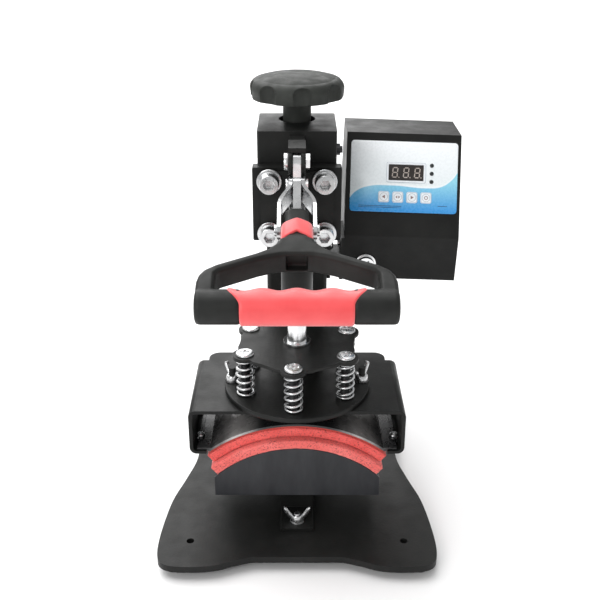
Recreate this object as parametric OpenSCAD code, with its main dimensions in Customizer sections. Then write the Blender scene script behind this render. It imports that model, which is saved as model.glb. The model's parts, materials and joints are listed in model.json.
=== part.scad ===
// Cap heat press: a curved upper heating platen on a spring-loaded carrier is pushed down onto a
// padded saddle by a toggle lever. A lead screw in the column sets the height of the whole head.
// Origin: on the bench, straight below the plunger. +Z up, +X to the right, +Y to the back.

/* [Base] */
// Thickness of the base plate
base_t = 6; // [5:0.5:8]
// Height of the rubber feet under the plate
foot_h = 8; // [6:0.5:10]
// Distance between the bench holes, left to right
bench_x = 180; // [176:1:184]
// Distance between the bench holes, front to back
bench_y = 237; // [233:1:240]

/* [Column] */
// Width of the square column
column_w = 54; // [52:0.5:55]
// Depth of the square column
column_d = 48; // [46:0.5:48]
// Height of the column's top end
column_top = 312; // [308:1:313]

/* [Saddle] */
// Outer radius of the saddle's arched sheet
saddle_r = 100; // [96:0.5:100]
// Depth of the saddle from front to back
saddle_d = 88; // [80:1:92]
// Thickness of the lower sponge pad
lower_pad_t = 9; // [7:0.5:9]

/* [Heating platen] */
// Thickness of the upper sponge pad
upper_pad_t = 8.7; // [6:0.1:8.8]
// Width of the carrier bracket
bracket_w = 180; // [176:1:184]
// Radius of the spring disc
disc_r = 62; // [60:0.5:64]
// Radius of the circle that the springs stand on
spring_ring = 48; // [46:0.5:49]
// Outer diameter of each spring
spring_od = 15.8; // [14:0.1:16]
// Twist of the star plate about the plunger
star_twist = -3.4; // [-5:0.1:5]

/* [Head] */
// Width of the head box
head_w = 67; // [66:0.5:69]
// Height at which the head box ends
head_top = 331.5; // [331:0.5:334]
// Diameter of the height knob
knob_d = 82; // [76:1:86]
// Number of finger scallops round the knob
knob_lobes = 8; // [6:1:10]

/* [Toggle] */
// Distance between two neighbouring toggle pivots
toggle_arm = 32; // [31.5:0.5:32]
// Angle of the handle below the horizontal
handle_dip = 19; // [17:0.5:21]
// Overall width of the handle
handle_w = 142; // [136:1:146]
// Distance from the handle's origin to the middle of its crossbar
grip_reach = 123; // [120:1:127]

/* [Control box] */
// Width of the control box
box_w = 103.5; // [98:0.5:106]
// Tilt of the control box, clockwise from the front
box_roll = 2; // [0:0.5:3]
// Side of each square key
key_size = 10; // [8:0.5:11]

/* [Hidden] */
$fn = 64;

fit_gap = 0.05;        // radial gap of a running fit, also between glued or threaded pieces
tiny = 0.01;

black = [0.12, 0.12, 0.12];
plastic_black = [0.16, 0.16, 0.15];
zinc = [0.78, 0.79, 0.8];
chrome = [0.85, 0.85, 0.87];
sponge_red = [0.8, 0.2, 0.2];
grip_red = [0.9, 0.25, 0.27];
rubber_black = [0.09, 0.09, 0.09];
bronze = [0.72, 0.55, 0.3];

// Base plate and what stands on it
plate_top = foot_h + base_t;
bench_mid_y = 47.5;
foot_r = 9.5;
feet = [[-102, -86], [102, -86], [-88, 184], [88, 184]];
foot_screw_r = 2.5;
column_mid_y = 95;
column_wall = 3;
column_foot_t = 12;
column_bolt_r = 4;
column_bolts_at = [[-15, 84], [15, 84], [-15, 106], [15, 106]];

// Lead screw, nut and knob, all on one upright axis
screw_y = 105;
screw_r = 7;
lead_nut_h = 16;
stem_r = 12.3;
knob_skirt_z = 350;
knob_top_z = 371;

// Saddle: its arch and both pads are centred on one axis along Y
arc_z = -12;
saddle_half_w = 70;
saddle_bottom = 41;
sheet = 2;
post_w = 28;
post_y = 28;
post_t = 3;
post_foot_y = 59;
saddle_nut_y = 48;
saddle_stud_r = 2.5;

// Upper platen, from the pad outwards
pad_gap = 0.3;
upper_pad_r = saddle_r + lower_pad_t + pad_gap;
mat_t = 2;
mat_r = upper_pad_r + upper_pad_t + 0.1;
shell_r = mat_r + mat_t + 0.2;
shell_angle = 37.8;
upper_half_d = 40;
bracket_top = 124;
bracket_t = 3;
bracket_bottom = 82.6;
bracket_y0 = -43;
bracket_y1 = 46;
lip_w = 14;
lip_screws_y = [-22, 22];
disc_t = 4.6;
disc_top = bracket_top + disc_t;
nut_x = 55.5;
nut_stud_r = 3;

// Springs, screws and star plate
spring_wire = 2;
spring_turns = 5.5;
star_z = 162.6;
star_t = 3.1;
star_top = star_z + star_t;
spring_screw_r = 4;
spring_angles = [for (k = [0:5]) 30 + 60 * k + star_twist];

// Plunger and guide
rod_r = 8;
collar_t = 3;
rod_top = 243.5;
tongue_top = 267;
spigot_r = 6;
boss_z0 = 210;
boss_z1 = 242;
boss_r = 13;
bush_r = 11;

// Toggle pivots, top to bottom, all at rest on the plunger's axis
pivot_z = 322.8;
elbow_z = pivot_z - toggle_arm;
pin_z = elbow_z - toggle_arm;
bar_t = 6;
link_t = 3;
pivot_bolt_r = 4;
link_pin_r = 3.5;
slot_drop = 8.5;       // play below the plunger pin, which the real linkage doesn't need
yoke_bolt_at = [-6, 306];
lever_toe = [-14.1, 288.15];

// Head
head_y0 = 60;
head_y1 = 125;
head_bottom = 236;
head_wall = 3;
flange_w = 61;
flange_z0 = 241;
flange_z1 = 301;
flange_y = 42;
plate_y = 48;
plate_z1 = 304;
clamp_x = 23;
clamp_mid_z = 271;
clamp_bolt_r = 5;

// Handle, in its own tilted frame: -Y runs along the handle
handle_z = 293;
frame_t = 20;
tube_r = 12.5;
grip_r = 13.5;
grip_half = 49;
neck_bolt_y = -39.5;

// Control box: side profile [y, z], before the roll
box_x0 = 42.4;
box_mid = [box_x0 + box_w / 2, 85, 228.4];
box_bottom = 187.4;
box_top = 313;
box_top_y = 125;
box_back = 176;
box_wall = 1.6;
face_tilt = atan2(box_top_y - box_mid[1], box_top - box_mid[2]);
label_size = [96.5, 64];
label_at = [0.5, 54.2];
label_t = 0.6;
display_at = [2.3, 58.1];
display_size = [35.4, 18];
lamp_x = 25.4;
lamp_y = [65.2, 57.9, 50.5];
key_x = [-17.4, -4.7, 8, 20.7];
key_y = 35.8;
key_travel = 0.8;

// ---- shared shapes -------------------------------------------------------------------------

// Square prism with rounded upright edges, centred in X and Y, standing on z = 0
module round_box(size, r) {
    translate([0, 0, size[2] / 2]) {
        cube([size[0] - 2 * r, size[1], size[2]], center = true);
        cube([size[0], size[1] - 2 * r, size[2]], center = true);
        for (x = [-1, 1], y = [-1, 1])
            translate([x * (size[0] / 2 - r), y * (size[1] / 2 - r), 0])
                cylinder(h = size[2], r = r, center = true);
    }
}

// The same outline in two dimensions, from corner [x0, y0] to corner [x1, y1]
module round_rect(x0, y0, x1, y1, r) {
    translate([x0 + r, y0]) square([x1 - x0 - 2 * r, y1 - y0]);
    translate([x0, y0 + r]) square([x1 - x0, y1 - y0 - 2 * r]);
    for (x = [x0 + r, x1 - r], y = [y0 + r, y1 - r]) translate([x, y]) circle(r);
}

// A flat piece drawn in Y and Z, from x = x0 to x = x1
module side_plate(x0, x1) {
    translate([x0, 0, 0]) rotate([90, 0, 90]) linear_extrude(x1 - x0) children();
}

// A flat piece drawn in X and Z, from y = y0 to y = y1
module front_plate(y0, y1) {
    translate([0, y1, 0]) rotate([90, 0, 0]) linear_extrude(y1 - y0) children();
}

// A shaft along X, centred at [y, z]
module cross_shaft(at, r, half) {
    translate([0, at[0], at[1]]) rotate([0, 90, 0]) cylinder(h = 2 * half, r = r, center = true);
}

// Part of a ring round the saddle's axis, half_angle to each side of the top
module arc_band(r0, r1, half_angle, y0, y1) {
    reach = r1 / cos(half_angle / 2) + 1;
    front_plate(y0, y1) translate([0, arc_z]) intersection() {
        difference() {
            circle(r1, $fn = 180);
            circle(r0, $fn = 180);
        }
        polygon([[0, 0], for (a = [-2:2]) reach * [sin(a * half_angle / 2), cos(a * half_angle / 2)]]);
    }
}

// Cross recess for a screwdriver, cut downwards from z = 0
module cross_recess(width, depth) {
    for (a = [0, 90]) rotate([0, 0, a])
        translate([0, 0, -depth / 2]) cube([width, width / 4, depth + tiny], center = true);
}

// Round-headed screw pointing down, its head standing on z = 0
module pan_screw(r, length, head_r, head_h) {
    difference() {
        union() {
            cylinder(h = head_h * 0.55, r = head_r);
            translate([0, 0, head_h * 0.55]) cylinder(h = head_h * 0.45, r1 = head_r, r2 = head_r * 0.72);
            translate([0, 0, -length]) cylinder(h = length + tiny, r = r);
        }
        translate([0, 0, head_h]) cross_recess(head_r * 1.1, head_h * 0.55);
    }
}

// Wing nut standing on z = 0, bored for a stud of radius r
module wing_nut(r, span) {
    hub_h = 6;
    difference() {
        union() {
            cylinder(h = hub_h, r1 = r + 3, r2 = r + 1.8);
            for (a = [0, 180]) rotate([0, 0, a]) rotate([90, 0, 0]) linear_extrude(2.6, center = true)
                polygon([[r + 0.6, 1], [span / 2 - 4.5, 5.5], [span / 2 - 0.5, 12], [span / 2 - 3, 15],
                    [span / 2 - 6.5, 13.5], [r + 1.2, hub_h - 0.4]]);
        }
        translate([0, 0, -1]) cylinder(h = hub_h + 2, r = r + fit_gap);
    }
}

// ---- base, column and saddle ---------------------------------------------------------------

// Right half of the plate's outline, front to back
base_half = [[38, -91.6], [53, -96.5], [70, -102.5], [96, -103.5], [111, -99], [116, -86],
    [116, -58], [111.5, -16], [102.8, 17.5], [95.3, 53], [97.5, 96], [101, 132], [103.5, 160],
    [103, 183], [92, 197], [70, 198.5]];

// A smooth curve through p1 and p2 with p0 and p3 as its neighbours
function spline(p0, p1, p2, p3, t) = 0.5 * (2 * p1 + (p2 - p0) * t
    + (2 * p0 - 5 * p1 + 4 * p2 - p3) * t * t + (3 * p1 - p0 - 3 * p2 + p3) * t * t * t);

function smooth(points, steps) = let (n = len(points) - 1) [
    for (k = [0:n - 1], s = [0:steps - 1])
        spline(points[max(k - 1, 0)], points[k], points[k + 1], points[min(k + 2, n)], s / steps),
    points[n]];

module base_plate() {
    edge = smooth(base_half, 5);
    n = len(edge) - 1;
    color(black) difference() {
        translate([0, 0, foot_h]) linear_extrude(base_t)
            polygon([each edge, for (k = [n:-1:0]) [-edge[k][0], edge[k][1]]]);
        for (x = [-1, 1], y = [-1, 1])
            translate([x * bench_x / 2, bench_mid_y + y * bench_y / 2, 0])
                cylinder(h = plate_top + 1, r = 3.25);
        for (at = feet) translate([at[0], at[1], 0])
            cylinder(h = foot_h + 4, r = foot_screw_r + fit_gap);
        for (at = column_bolts_at) translate([at[0], at[1], 0])
            cylinder(h = plate_top + 1, r = column_bolt_r + fit_gap);
        for (y = [-1, 1]) translate([0, y * saddle_nut_y, 0])
            cylinder(h = plate_top + 1, r = saddle_stud_r + fit_gap);
    }
}

module rubber_feet() {
    color(rubber_black) for (at = feet) translate([at[0], at[1], 0]) difference() {
        cylinder(h = foot_h, r1 = foot_r - 1, r2 = foot_r);
        translate([0, 0, -1]) cylinder(h = foot_h + 2, r = foot_screw_r + fit_gap);
        translate([0, 0, -1]) cylinder(h = 4.5, r = 5.2);
    }
}

module foot_screws() {
    color(zinc) for (at = feet) translate([at[0], at[1], 3.5]) mirror([0, 0, 1])
        pan_screw(foot_screw_r, foot_h, 5, 2.4);
}

module column() {
    color(black) difference() {
        union() {
            difference() {
                translate([0, column_mid_y, plate_top])
                    round_box([column_w, column_d, column_top - plate_top], 4);
                translate([0, column_mid_y, plate_top - 1])
                    round_box([column_w - 2 * column_wall, column_d - 2 * column_wall,
                        column_top - plate_top + 2], 1.5);
            }
            translate([0, column_mid_y, plate_top])
                round_box([column_w - 2 * column_wall + tiny, column_d - 2 * column_wall + tiny,
                    column_foot_t], 1.5);
        }
        for (at = column_bolts_at) translate([at[0], at[1], plate_top - 1])
            cylinder(h = column_foot_t + 2, r = column_bolt_r + fit_gap);
        for (z = [200, 218]) translate([column_w / 2, column_mid_y, z]) rotate([0, 90, 0])
            cylinder(h = 20, r = 3 + fit_gap, center = true);
    }
}

module column_bolts() {
    color(zinc) for (at = column_bolts_at) translate([at[0], at[1], 0]) {
        translate([0, 0, foot_h - 5.3]) cylinder(h = 5.3, r = 7.5, $fn = 6);
        translate([0, 0, foot_h - tiny]) cylinder(h = base_t + column_foot_t, r = column_bolt_r);
    }
}

module lead_nut() {
    color(bronze) translate([0, column_mid_y, column_top - lead_nut_h]) difference() {
        round_box([column_w - 2 * column_wall - 0.2, column_d - 2 * column_wall - 0.2, lead_nut_h], 1.4);
        translate([0, screw_y - column_mid_y, -1]) cylinder(h = lead_nut_h + 2, r = screw_r + fit_gap);
    }
}

// Side outline of the saddle in X and Z, inset by t
module saddle_outline(t) {
    intersection() {
        translate([0, arc_z]) circle(saddle_r - t, $fn = 180);
        translate([-saddle_half_w + t, saddle_bottom + t])
            square([2 * (saddle_half_w - t), saddle_r]);
    }
}

module saddle_arch() {
    half = saddle_d / 2 - sheet;
    color(black) front_plate(-half, half) difference() {
        saddle_outline(0);
        saddle_outline(sheet);
    }
}

module saddle_end_plates() {
    color(black) for (y = [-saddle_d / 2, saddle_d / 2 - sheet])
        front_plate(y, y + sheet) saddle_outline(0);
}

module saddle_post() {
    color(black) difference() {
        side_plate(-post_w / 2, post_w / 2) for (m = [0, 1]) mirror([m, 0]) {
            translate([post_y - post_t, plate_top]) square([post_foot_y - post_y + post_t, post_t]);
            translate([post_y - post_t, plate_top]) square([post_t, saddle_bottom - plate_top]);
            translate([-tiny, saddle_bottom - post_t]) square([post_y, post_t]);
        }
        for (y = [-1, 1]) translate([0, y * saddle_nut_y, plate_top - 1])
            cylinder(h = post_t + 2, r = saddle_stud_r + 0.4);
    }
}

module lower_pad() {
    color(sponge_red) arc_band(saddle_r + 0.1, saddle_r + lower_pad_t, 42.5, -45, 45);
}

module saddle_studs() {
    color(zinc) for (y = [-1, 1]) translate([0, y * saddle_nut_y, foot_h]) {
        cylinder(h = 17.5, r = saddle_stud_r);
        translate([0, 0, base_t + post_t]) difference() {
            cylinder(h = 1, r = 6);
            translate([0, 0, -1]) cylinder(h = 3, r = saddle_stud_r - tiny);
        }
    }
}

module saddle_wing_nut(side) {
    color(zinc) translate([0, side * saddle_nut_y, plate_top + post_t + 1.3])
        wing_nut(saddle_stud_r, 25);
}

module saddle_wing_nut_front() {
    saddle_wing_nut(-1);
}

module saddle_wing_nut_rear() {
    saddle_wing_nut(1);
}

// ---- control box -----------------------------------------------------------------------------

// The control box's own frame: tilted a little about the middle of its front crease
module in_box() {
    translate(box_mid) rotate([0, box_roll, 0]) translate(-box_mid) children();
}

// The sloping face: X across, Y up the slope from the crease, Z out of the face
module on_face() {
    in_box() translate(box_mid) rotate([90 - face_tilt, 0, 0]) children();
}

// Side profile of the case in Y and Z, inset by t
module case_profile(t) {
    polygon([[box_mid[1] + t, box_bottom + t],
        [box_mid[1] + t, box_mid[2] - t * tan(face_tilt / 2)],
        [box_top_y + t * tan(45 - face_tilt / 2), box_top - t],
        [box_back - t, box_top - t],
        [box_back - t, box_bottom + t]]);
}

module control_case() {
    x1 = box_x0 + box_w;
    color(black) difference() {
        in_box() difference() {
            side_plate(box_x0, x1) case_profile(0);
            intersection() {
                side_plate(box_x0 + box_wall, x1 - box_wall) case_profile(box_wall);
                cube([400, box_back - 2 * box_wall, 400]);
            }
            translate([box_x0 + 6, box_back - 2 * box_wall - 1, box_bottom + 6])
                cube([box_w - 12, 3 * box_wall + 2, box_top - box_bottom - 12]);
            translate([box_x0 + 20.8, box_mid[1], 202]) rotate([90, 0, 0])
                cylinder(h = 10, r = 8 + fit_gap, center = true);
            for (z = [200, 218]) translate([box_x0, column_mid_y, z]) rotate([0, 90, 0])
                cylinder(h = 10, r = 2 + fit_gap, center = true);
        }
        on_face() {
            translate([display_at[0], display_at[1], -3])
                round_box([display_size[0] - 3, display_size[1] - 3, 6], 1);
            for (y = lamp_y) translate([lamp_x, y, -3]) cylinder(h = 6, r = 1.5 + fit_gap);
            for (x = key_x) translate([x, key_y, -3]) cylinder(h = 6, r = 3.2);
        }
    }
}

module control_back_cover() {
    x1 = box_x0 + box_w;
    color(black) in_box() difference() {
        translate([box_x0, box_back, box_bottom])
            cube([box_w, box_wall, box_top - box_bottom]);
        translate([box_x0 + box_w / 2 - 14.5, box_back - 1, box_bottom + 20]) cube([29, 5, 21]);
        translate([box_x0 + box_w / 2 - 14, box_back - 1, box_bottom + 55]) cube([28, 5, 15]);
        for (k = [0:5]) translate([box_x0 + 24, box_back - 1, box_bottom + 84 + 5 * k])
            cube([box_w - 48, 5, 2]);
        for (x = [box_x0 + 3.5, x1 - 3.5], z = [box_bottom + 3.5, box_top - 3.5])
            translate([x, box_back, z]) rotate([90, 0, 0])
                cylinder(h = 10, r = 1.5 + fit_gap, center = true);
    }
}

module cover_screws() {
    x1 = box_x0 + box_w;
    color(zinc) in_box() for (x = [box_x0 + 3.5, x1 - 3.5], z = [box_bottom + 3.5, box_top - 3.5])
        translate([x, box_back + box_wall, z]) rotate([-90, 0, 0]) pan_screw(1.5, box_wall, 3, 1.8);
}

module label_panel() {
    color([0.6, 0.85, 0.95]) on_face() difference() {
        translate([label_at[0], label_at[1], 0]) round_box([label_size[0], label_size[1], label_t], 3);
        translate([display_at[0], display_at[1], -1])
            round_box([display_size[0] + 0.2, display_size[1] + 0.2, 3], 1);
        for (y = lamp_y) translate([lamp_x, y, -1]) cylinder(h = 3, r = 1.5 + fit_gap);
        for (x = key_x) translate([x, key_y, -1])
            round_box([key_size + 0.8, key_size + 0.8, 3], 1.2);
    }
}

module display_window() {
    color([0.2, 0.17, 0.16]) on_face() translate([display_at[0], display_at[1], tiny])
        round_box([display_size[0], display_size[1], 1.1], 0.8);
}

module indicator_lamps() {
    color([0.1, 0.1, 0.1]) on_face() for (y = lamp_y) translate([lamp_x, y, -2])
        cylinder(h = 3.2, r = 1.5);
}

module key_cap(k) {
    color([0.94, 0.95, 0.96]) on_face() translate([key_x[k], key_y, key_travel + 0.3]) {
        round_box([key_size, key_size, 1.2], 1);
        translate([0, 0, -8]) cylinder(h = 8.5, r = 2);
    }
}

module key_1() {
    key_cap(0);
}

module key_2() {
    key_cap(1);
}

module key_3() {
    key_cap(2);
}

module key_4() {
    key_cap(3);
}

module heater_socket() {
    color(chrome) in_box() translate([box_x0 + 20.8, box_mid[1], 202]) rotate([90, 0, 0]) difference() {
        union() {
            translate([0, 0, tiny]) cylinder(h = 2, r = 9.35);
            cylinder(h = 8, r = 7.9);
            translate([0, 0, -12]) cylinder(h = 13, r = 8);
            translate([0, 0, -5]) cylinder(h = 5 - box_wall - tiny, r = 10, $fn = 6);
        }
        translate([0, 0, 2.5]) cylinder(h = 6, r = 6.4);
        for (a = [45:90:315]) rotate([0, 0, a]) translate([3.4, 0, -2]) cylinder(h = 8, r = 0.9);
    }
}

// Mains module on the cover: the inlet below and the tray of the rocker switch above it
rocker_z = box_bottom + 62.5;
rocker_tip = 8;
rocker_axle_r = 1.2;
rocker_depth = 3;

module mains_inlet() {
    mid_x = box_x0 + box_w / 2;
    color(plastic_black) in_box() {
        translate([mid_x, box_back + box_wall, box_bottom + 30.5]) rotate([-90, 0, 0]) difference() {
            union() {
                translate([0, 0, tiny]) round_box([34, 26, 3], 2);
                translate([0, 0, -20]) round_box([28.8, 20.8, 21], 1);
            }
            translate([0, 0, -13]) round_box([24, 16, 17], 1.5);
        }
        translate([mid_x, box_back + box_wall, rocker_z]) {
            difference() {
                translate([-13.9, -15, -7.4]) cube([27.8, 16, 14.8]);
                translate([-12, -13.5, -6.3]) cube([24, 16, 12.6]);
            }
            translate([0, -rocker_depth, 0]) rotate([0, 90, 0])
                cylinder(h = 25, r = rocker_axle_r, center = true);
        }
    }
}

// The rocker tips about X; at rest its upper end stands proud
module power_rocker() {
    color([0.75, 0.1, 0.1]) in_box()
        translate([box_x0 + box_w / 2, box_back + box_wall - rocker_depth, rocker_z])
        rotate([rocker_tip, 0, 0]) difference() {
            side_plate(-11.6, 11.6) polygon([[-2, -5.4], [4.6, -5.4], [3.6, 0], [4.6, 5.4], [-2, 5.4]]);
            cross_shaft([0, 0], rocker_axle_r + fit_gap, 20);
        }
}

module control_electronics() {
    color([0.1, 0.35, 0.2]) {
        on_face() difference() {
            translate([2, 50, -12]) round_box([88, 58, 1.6], 1);
            for (x = key_x) translate([x, key_y, -13]) cylinder(h = 4, r = 2.6);
        }
        on_face() translate([display_at[0], display_at[1], -10.4]) round_box([30, 14, 8], 0.5);
        in_box() translate([box_x0 + 34, 108, box_bottom + box_wall]) cube([36, 34, 30]);
    }
}

module control_bracket() {
    color(black) {
        difference() {
            translate([column_w / 2 + tiny, 76, 192]) cube([3, 38, 34]);
            for (z = [200, 218]) translate([column_w / 2, column_mid_y, z]) rotate([0, 90, 0])
                cylinder(h = 20, r = 3 + fit_gap, center = true);
        }
        translate([column_w / 2 + 2.9, 76, 207.5]) cube([box_x0 - column_w / 2 - 5.2, 38, 3]);
        in_box() difference() {
            translate([box_x0 - 3 - tiny, 76, 189]) cube([3, 46, 40]);
            for (z = [200, 218]) translate([box_x0, column_mid_y, z]) rotate([0, 90, 0])
                cylinder(h = 10, r = 2 + fit_gap, center = true);
        }
    }
}

module bracket_bolts() {
    color(zinc) for (z = [200, 218]) {
        translate([column_w / 2 + 3 + 2 * tiny, column_mid_y, z]) rotate([0, 90, 0])
            pan_screw(3, 10, 5, 3);
        in_box() translate([box_x0 - 3 - 2 * tiny, column_mid_y, z]) rotate([0, -90, 0])
            pan_screw(2, 7, 3.5, 2.2);
    }
}

// ---- head ------------------------------------------------------------------------------------

module head_box() {
    inner_w = head_w - 2 * head_wall;
    mid_y = (head_y0 + head_y1) / 2;
    depth = head_y1 - head_y0;
    color(black) difference() {
        translate([0, mid_y, head_bottom]) round_box([head_w, depth, head_top - head_bottom], 2);
        difference() {
            translate([0, mid_y, head_bottom - 1])
                round_box([inner_w, depth - 2 * head_wall, head_top - head_bottom - head_wall + 1], 1);
            translate([0, mid_y, 319]) round_box([inner_w + 1, depth, 6], 1);
        }
        translate([0, screw_y, head_top - head_wall - 1]) cylinder(h = 6, r = 16);
        translate([0, screw_y, 310]) cylinder(h = 18, r = screw_r + fit_gap);
        for (z = [288, 308]) translate([head_w / 2, 90, z]) rotate([0, 90, 0])
            cylinder(h = 12, r = 3 + fit_gap, center = true);
        for (x = [-1, 1], z = [-1, 1])
            translate([x * clamp_x, head_y0, clamp_mid_z + z * clamp_x]) rotate([90, 0, 0])
                cylinder(h = 10, r = clamp_bolt_r + fit_gap, center = true);
    }
}

module gib_pads() {
    inner_x = head_w / 2 - head_wall;
    z0 = 240;
    z1 = 308;
    gap = 0.1;
    front0 = head_y0 + head_wall;
    front1 = column_mid_y - column_d / 2 - gap;
    rear0 = column_mid_y + column_d / 2 + gap;
    color([0.9, 0.9, 0.86]) {
        for (x = [-12, 4]) translate([x, front0, z0]) cube([8, front1 - front0, z1 - z0]);
        translate([-20, rear0, z0]) cube([40, head_y1 - head_wall - rear0, z1 - z0]);
        for (m = [0, 1]) mirror([m, 0, 0]) translate([column_w / 2 + gap, 80, z0])
            cube([inner_x - column_w / 2 - gap, 30, z1 - z0 + 6]);
    }
}

module gib_screws() {
    color([0.2, 0.2, 0.2]) for (z = [288, 308]) translate([head_w / 2 - head_wall + tiny, 90, z])
        rotate([0, 90, 0]) difference() {
            union() {
                cylinder(h = 9, r = 3);
                translate([0, 0, head_wall]) cylinder(h = 4, r = 5.2, $fn = 6);
            }
            translate([0, 0, 6.5]) cylinder(h = 4, r = 1.7, $fn = 6);
        }
}

module carriage_plate() {
    color(black) difference() {
        front_plate(plate_y, head_y0) round_rect(-37.5, 239.5, 37.5, plate_z1, 1.5);
        for (x = [-1, 1], z = [-1, 1])
            translate([x * clamp_x, plate_y, clamp_mid_z + z * clamp_x]) rotate([90, 0, 0])
                cylinder(h = 30, r = clamp_bolt_r + fit_gap, center = true);
    }
}

// Side outline of the web that carries the guide boss and the top arm
module clamp_web() {
    polygon([[9, boss_z0 + 3], [20, boss_z0 + 4], [flange_y, flange_z0], [flange_y, flange_z1],
        [plate_y, plate_z1 + tiny], [head_y0 - tiny, plate_z1 + tiny], [head_y0 - tiny, 328],
        [10, 328], [10, 309], [16, 304],
        [16, 247], [9, boss_z1 - 1]]);
}

module clamp_body() {
    cheek = 3.5;
    inner = bar_t / 2 + 0.3;
    nose_r = 9.8;
    color(black) difference() {
        union() {
            difference() {
                side_plate(-6.3, 6.3) clamp_web();
                translate([0, 0, boss_z0 - 1]) cylinder(h = boss_z1 - boss_z0 + 2, r = boss_r - 1);
            }
            front_plate(flange_y, plate_y) difference() {
                round_rect(-flange_w / 2, flange_z0, flange_w / 2, flange_z1, 1.5);
                for (x = [-1, 1], z = [-1, 1])
                    translate([x * clamp_x, clamp_mid_z + z * clamp_x]) circle(clamp_bolt_r + fit_gap);
            }
            for (m = [0, 1]) mirror([m, 0, 0]) side_plate(inner, inner + cheek) {
                translate([0, pivot_z]) circle(nose_r);
                translate([0, pivot_z - nose_r]) square([14, 2 * nose_r]);
            }
            side_plate(-inner - cheek, inner + cheek) polygon([[-5, 331.5], [-5, 335], [20, 335],
                [40, 328], [13, 328], [9, 331.5]]);
            difference() {
                translate([0, 0, boss_z0]) {
                    cylinder(h = boss_z1 - boss_z0 - 6, r = boss_r);
                    translate([0, 0, boss_z1 - boss_z0 - 6]) cylinder(h = 6, r1 = boss_r, r2 = boss_r - 1.5);
                }
                translate([0, 0, boss_z0 - 1]) cylinder(h = 40, r = bush_r + fit_gap);
            }
        }
        cross_shaft([0, pivot_z], pivot_bolt_r + fit_gap, 20);
    }
}

module clamp_bolts() {
    color(zinc) for (x = [-1, 1], z = [-1, 1])
        translate([x * clamp_x, flange_y, clamp_mid_z + z * clamp_x]) rotate([90, 0, 0]) {
            difference() {
                cylinder(h = 2, r = 10.5);
                translate([0, 0, -1]) cylinder(h = 4, r = clamp_bolt_r - tiny);
            }
            difference() {
                union() {
                    translate([0, 0, 2 - tiny]) cylinder(h = 10, r = 8);
                    translate([0, 0, -25]) cylinder(h = 28, r = clamp_bolt_r);
                }
                translate([0, 0, 6]) cylinder(h = 7, r = 4.6, $fn = 6);
            }
            translate([0, 0, -25]) difference() {
                rotate([0, 0, 30])
                    cylinder(h = 25 - head_y0 - head_wall + flange_y - tiny, r = 8, $fn = 6);
                translate([0, 0, -1]) cylinder(h = 20, r = clamp_bolt_r - tiny);
            }
        }
}

module guide_bush() {
    color(bronze) difference() {
        union() {
            translate([0, 0, boss_z0 - tiny]) cylinder(h = boss_z1 - boss_z0 - 0.5, r = bush_r);
            translate([0, 0, boss_z0 - 1.5]) cylinder(h = 1.5 - tiny, r = bush_r + 1.4);
        }
        translate([0, 0, boss_z0 - 3]) cylinder(h = 50, r = rod_r + fit_gap);
    }
}

module lever_pivot_bolt() {
    outer = bar_t / 2 + 3.8 + tiny;
    color(zinc) {
        cross_shaft([0, pivot_z], pivot_bolt_r, outer + 1);
        translate([outer, 0, pivot_z]) rotate([0, 90, 0]) cylinder(h = 3.2, r = 6.5, $fn = 6);
        translate([-outer - 3.2, 0, pivot_z]) rotate([0, 90, 0]) cylinder(h = 3.2, r = 6.8);
    }
}

// Profile of the knob from its axis outwards
module knob_profile() {
    r = knob_d / 2;
    polygon([[0, knob_skirt_z + 2], [stem_r, knob_skirt_z + 2], [r - 9, knob_skirt_z],
        [r - 1.5, knob_skirt_z + 2],
        for (a = [-10:10:80]) [r - 8 + 8 * cos(a), knob_skirt_z + 9 + 8 * sin(a)],
        [r - 18, knob_top_z - 2.4], [r - 28, knob_top_z - 0.8], [0, knob_top_z]]);
}

module knob() {
    scallop_r = 8.5;
    scallop_at = knob_d / 2 + 4.5;
    color(plastic_black) difference() {
        union() {
            translate([0, screw_y, 0]) rotate_extrude($fn = 128) knob_profile();
            translate([0, screw_y, 325 + fit_gap]) cylinder(h = knob_skirt_z - 322, r = stem_r);
        }
        translate([0, screw_y, 320]) cylinder(h = 40, r = screw_r + fit_gap);
        for (k = [0:knob_lobes - 1]) translate([0, screw_y, 0])
            rotate([0, 0, 7 - 90 + k * 360 / knob_lobes]) translate([scallop_at, 0, knob_skirt_z - 1])
                cylinder(h = 15, r = scallop_r);
    }
}

module lead_screw() {
    color(zinc) translate([0, screw_y, 0]) {
        translate([0, 0, 240]) cylinder(h = 119, r = screw_r);
        translate([0, 0, 314.6]) cylinder(h = 4, r = 11);
    }
}

// ---- lever, links and plunger ------------------------------------------------------------------

module lever_bar() {
    color(zinc) difference() {
        side_plate(-bar_t / 2, bar_t / 2) union() {
            hull() {
                translate([0, pivot_z]) circle(8);
                translate([0, elbow_z]) circle(7.5);
            }
            hull() {
                translate([0, elbow_z + 8]) circle(7);
                translate([yoke_bolt_at[0], yoke_bolt_at[1]]) circle(7);
            }
            hull() {
                translate([yoke_bolt_at[0], yoke_bolt_at[1]]) circle(7);
                translate(lever_toe) circle(5.5);
            }
        }
        cross_shaft([0, pivot_z], pivot_bolt_r + fit_gap, 10);
        cross_shaft([0, elbow_z], link_pin_r + fit_gap, 10);
        cross_shaft(yoke_bolt_at, 3 + fit_gap, 10);
    }
}

// Places its children in the handle's tilted frame
module at_handle() {
    translate([0, 0, handle_z]) rotate([handle_dip, 0, 0]) children();
}

yoke_leg_x = 12.2;
yoke_t = 3;
yoke_bolt_local = [for (d = [yoke_bolt_at[1] - handle_z])
    [yoke_bolt_at[0] * cos(handle_dip) + d * sin(handle_dip),
        d * cos(handle_dip) - yoke_bolt_at[0] * sin(handle_dip)]][0];

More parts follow.
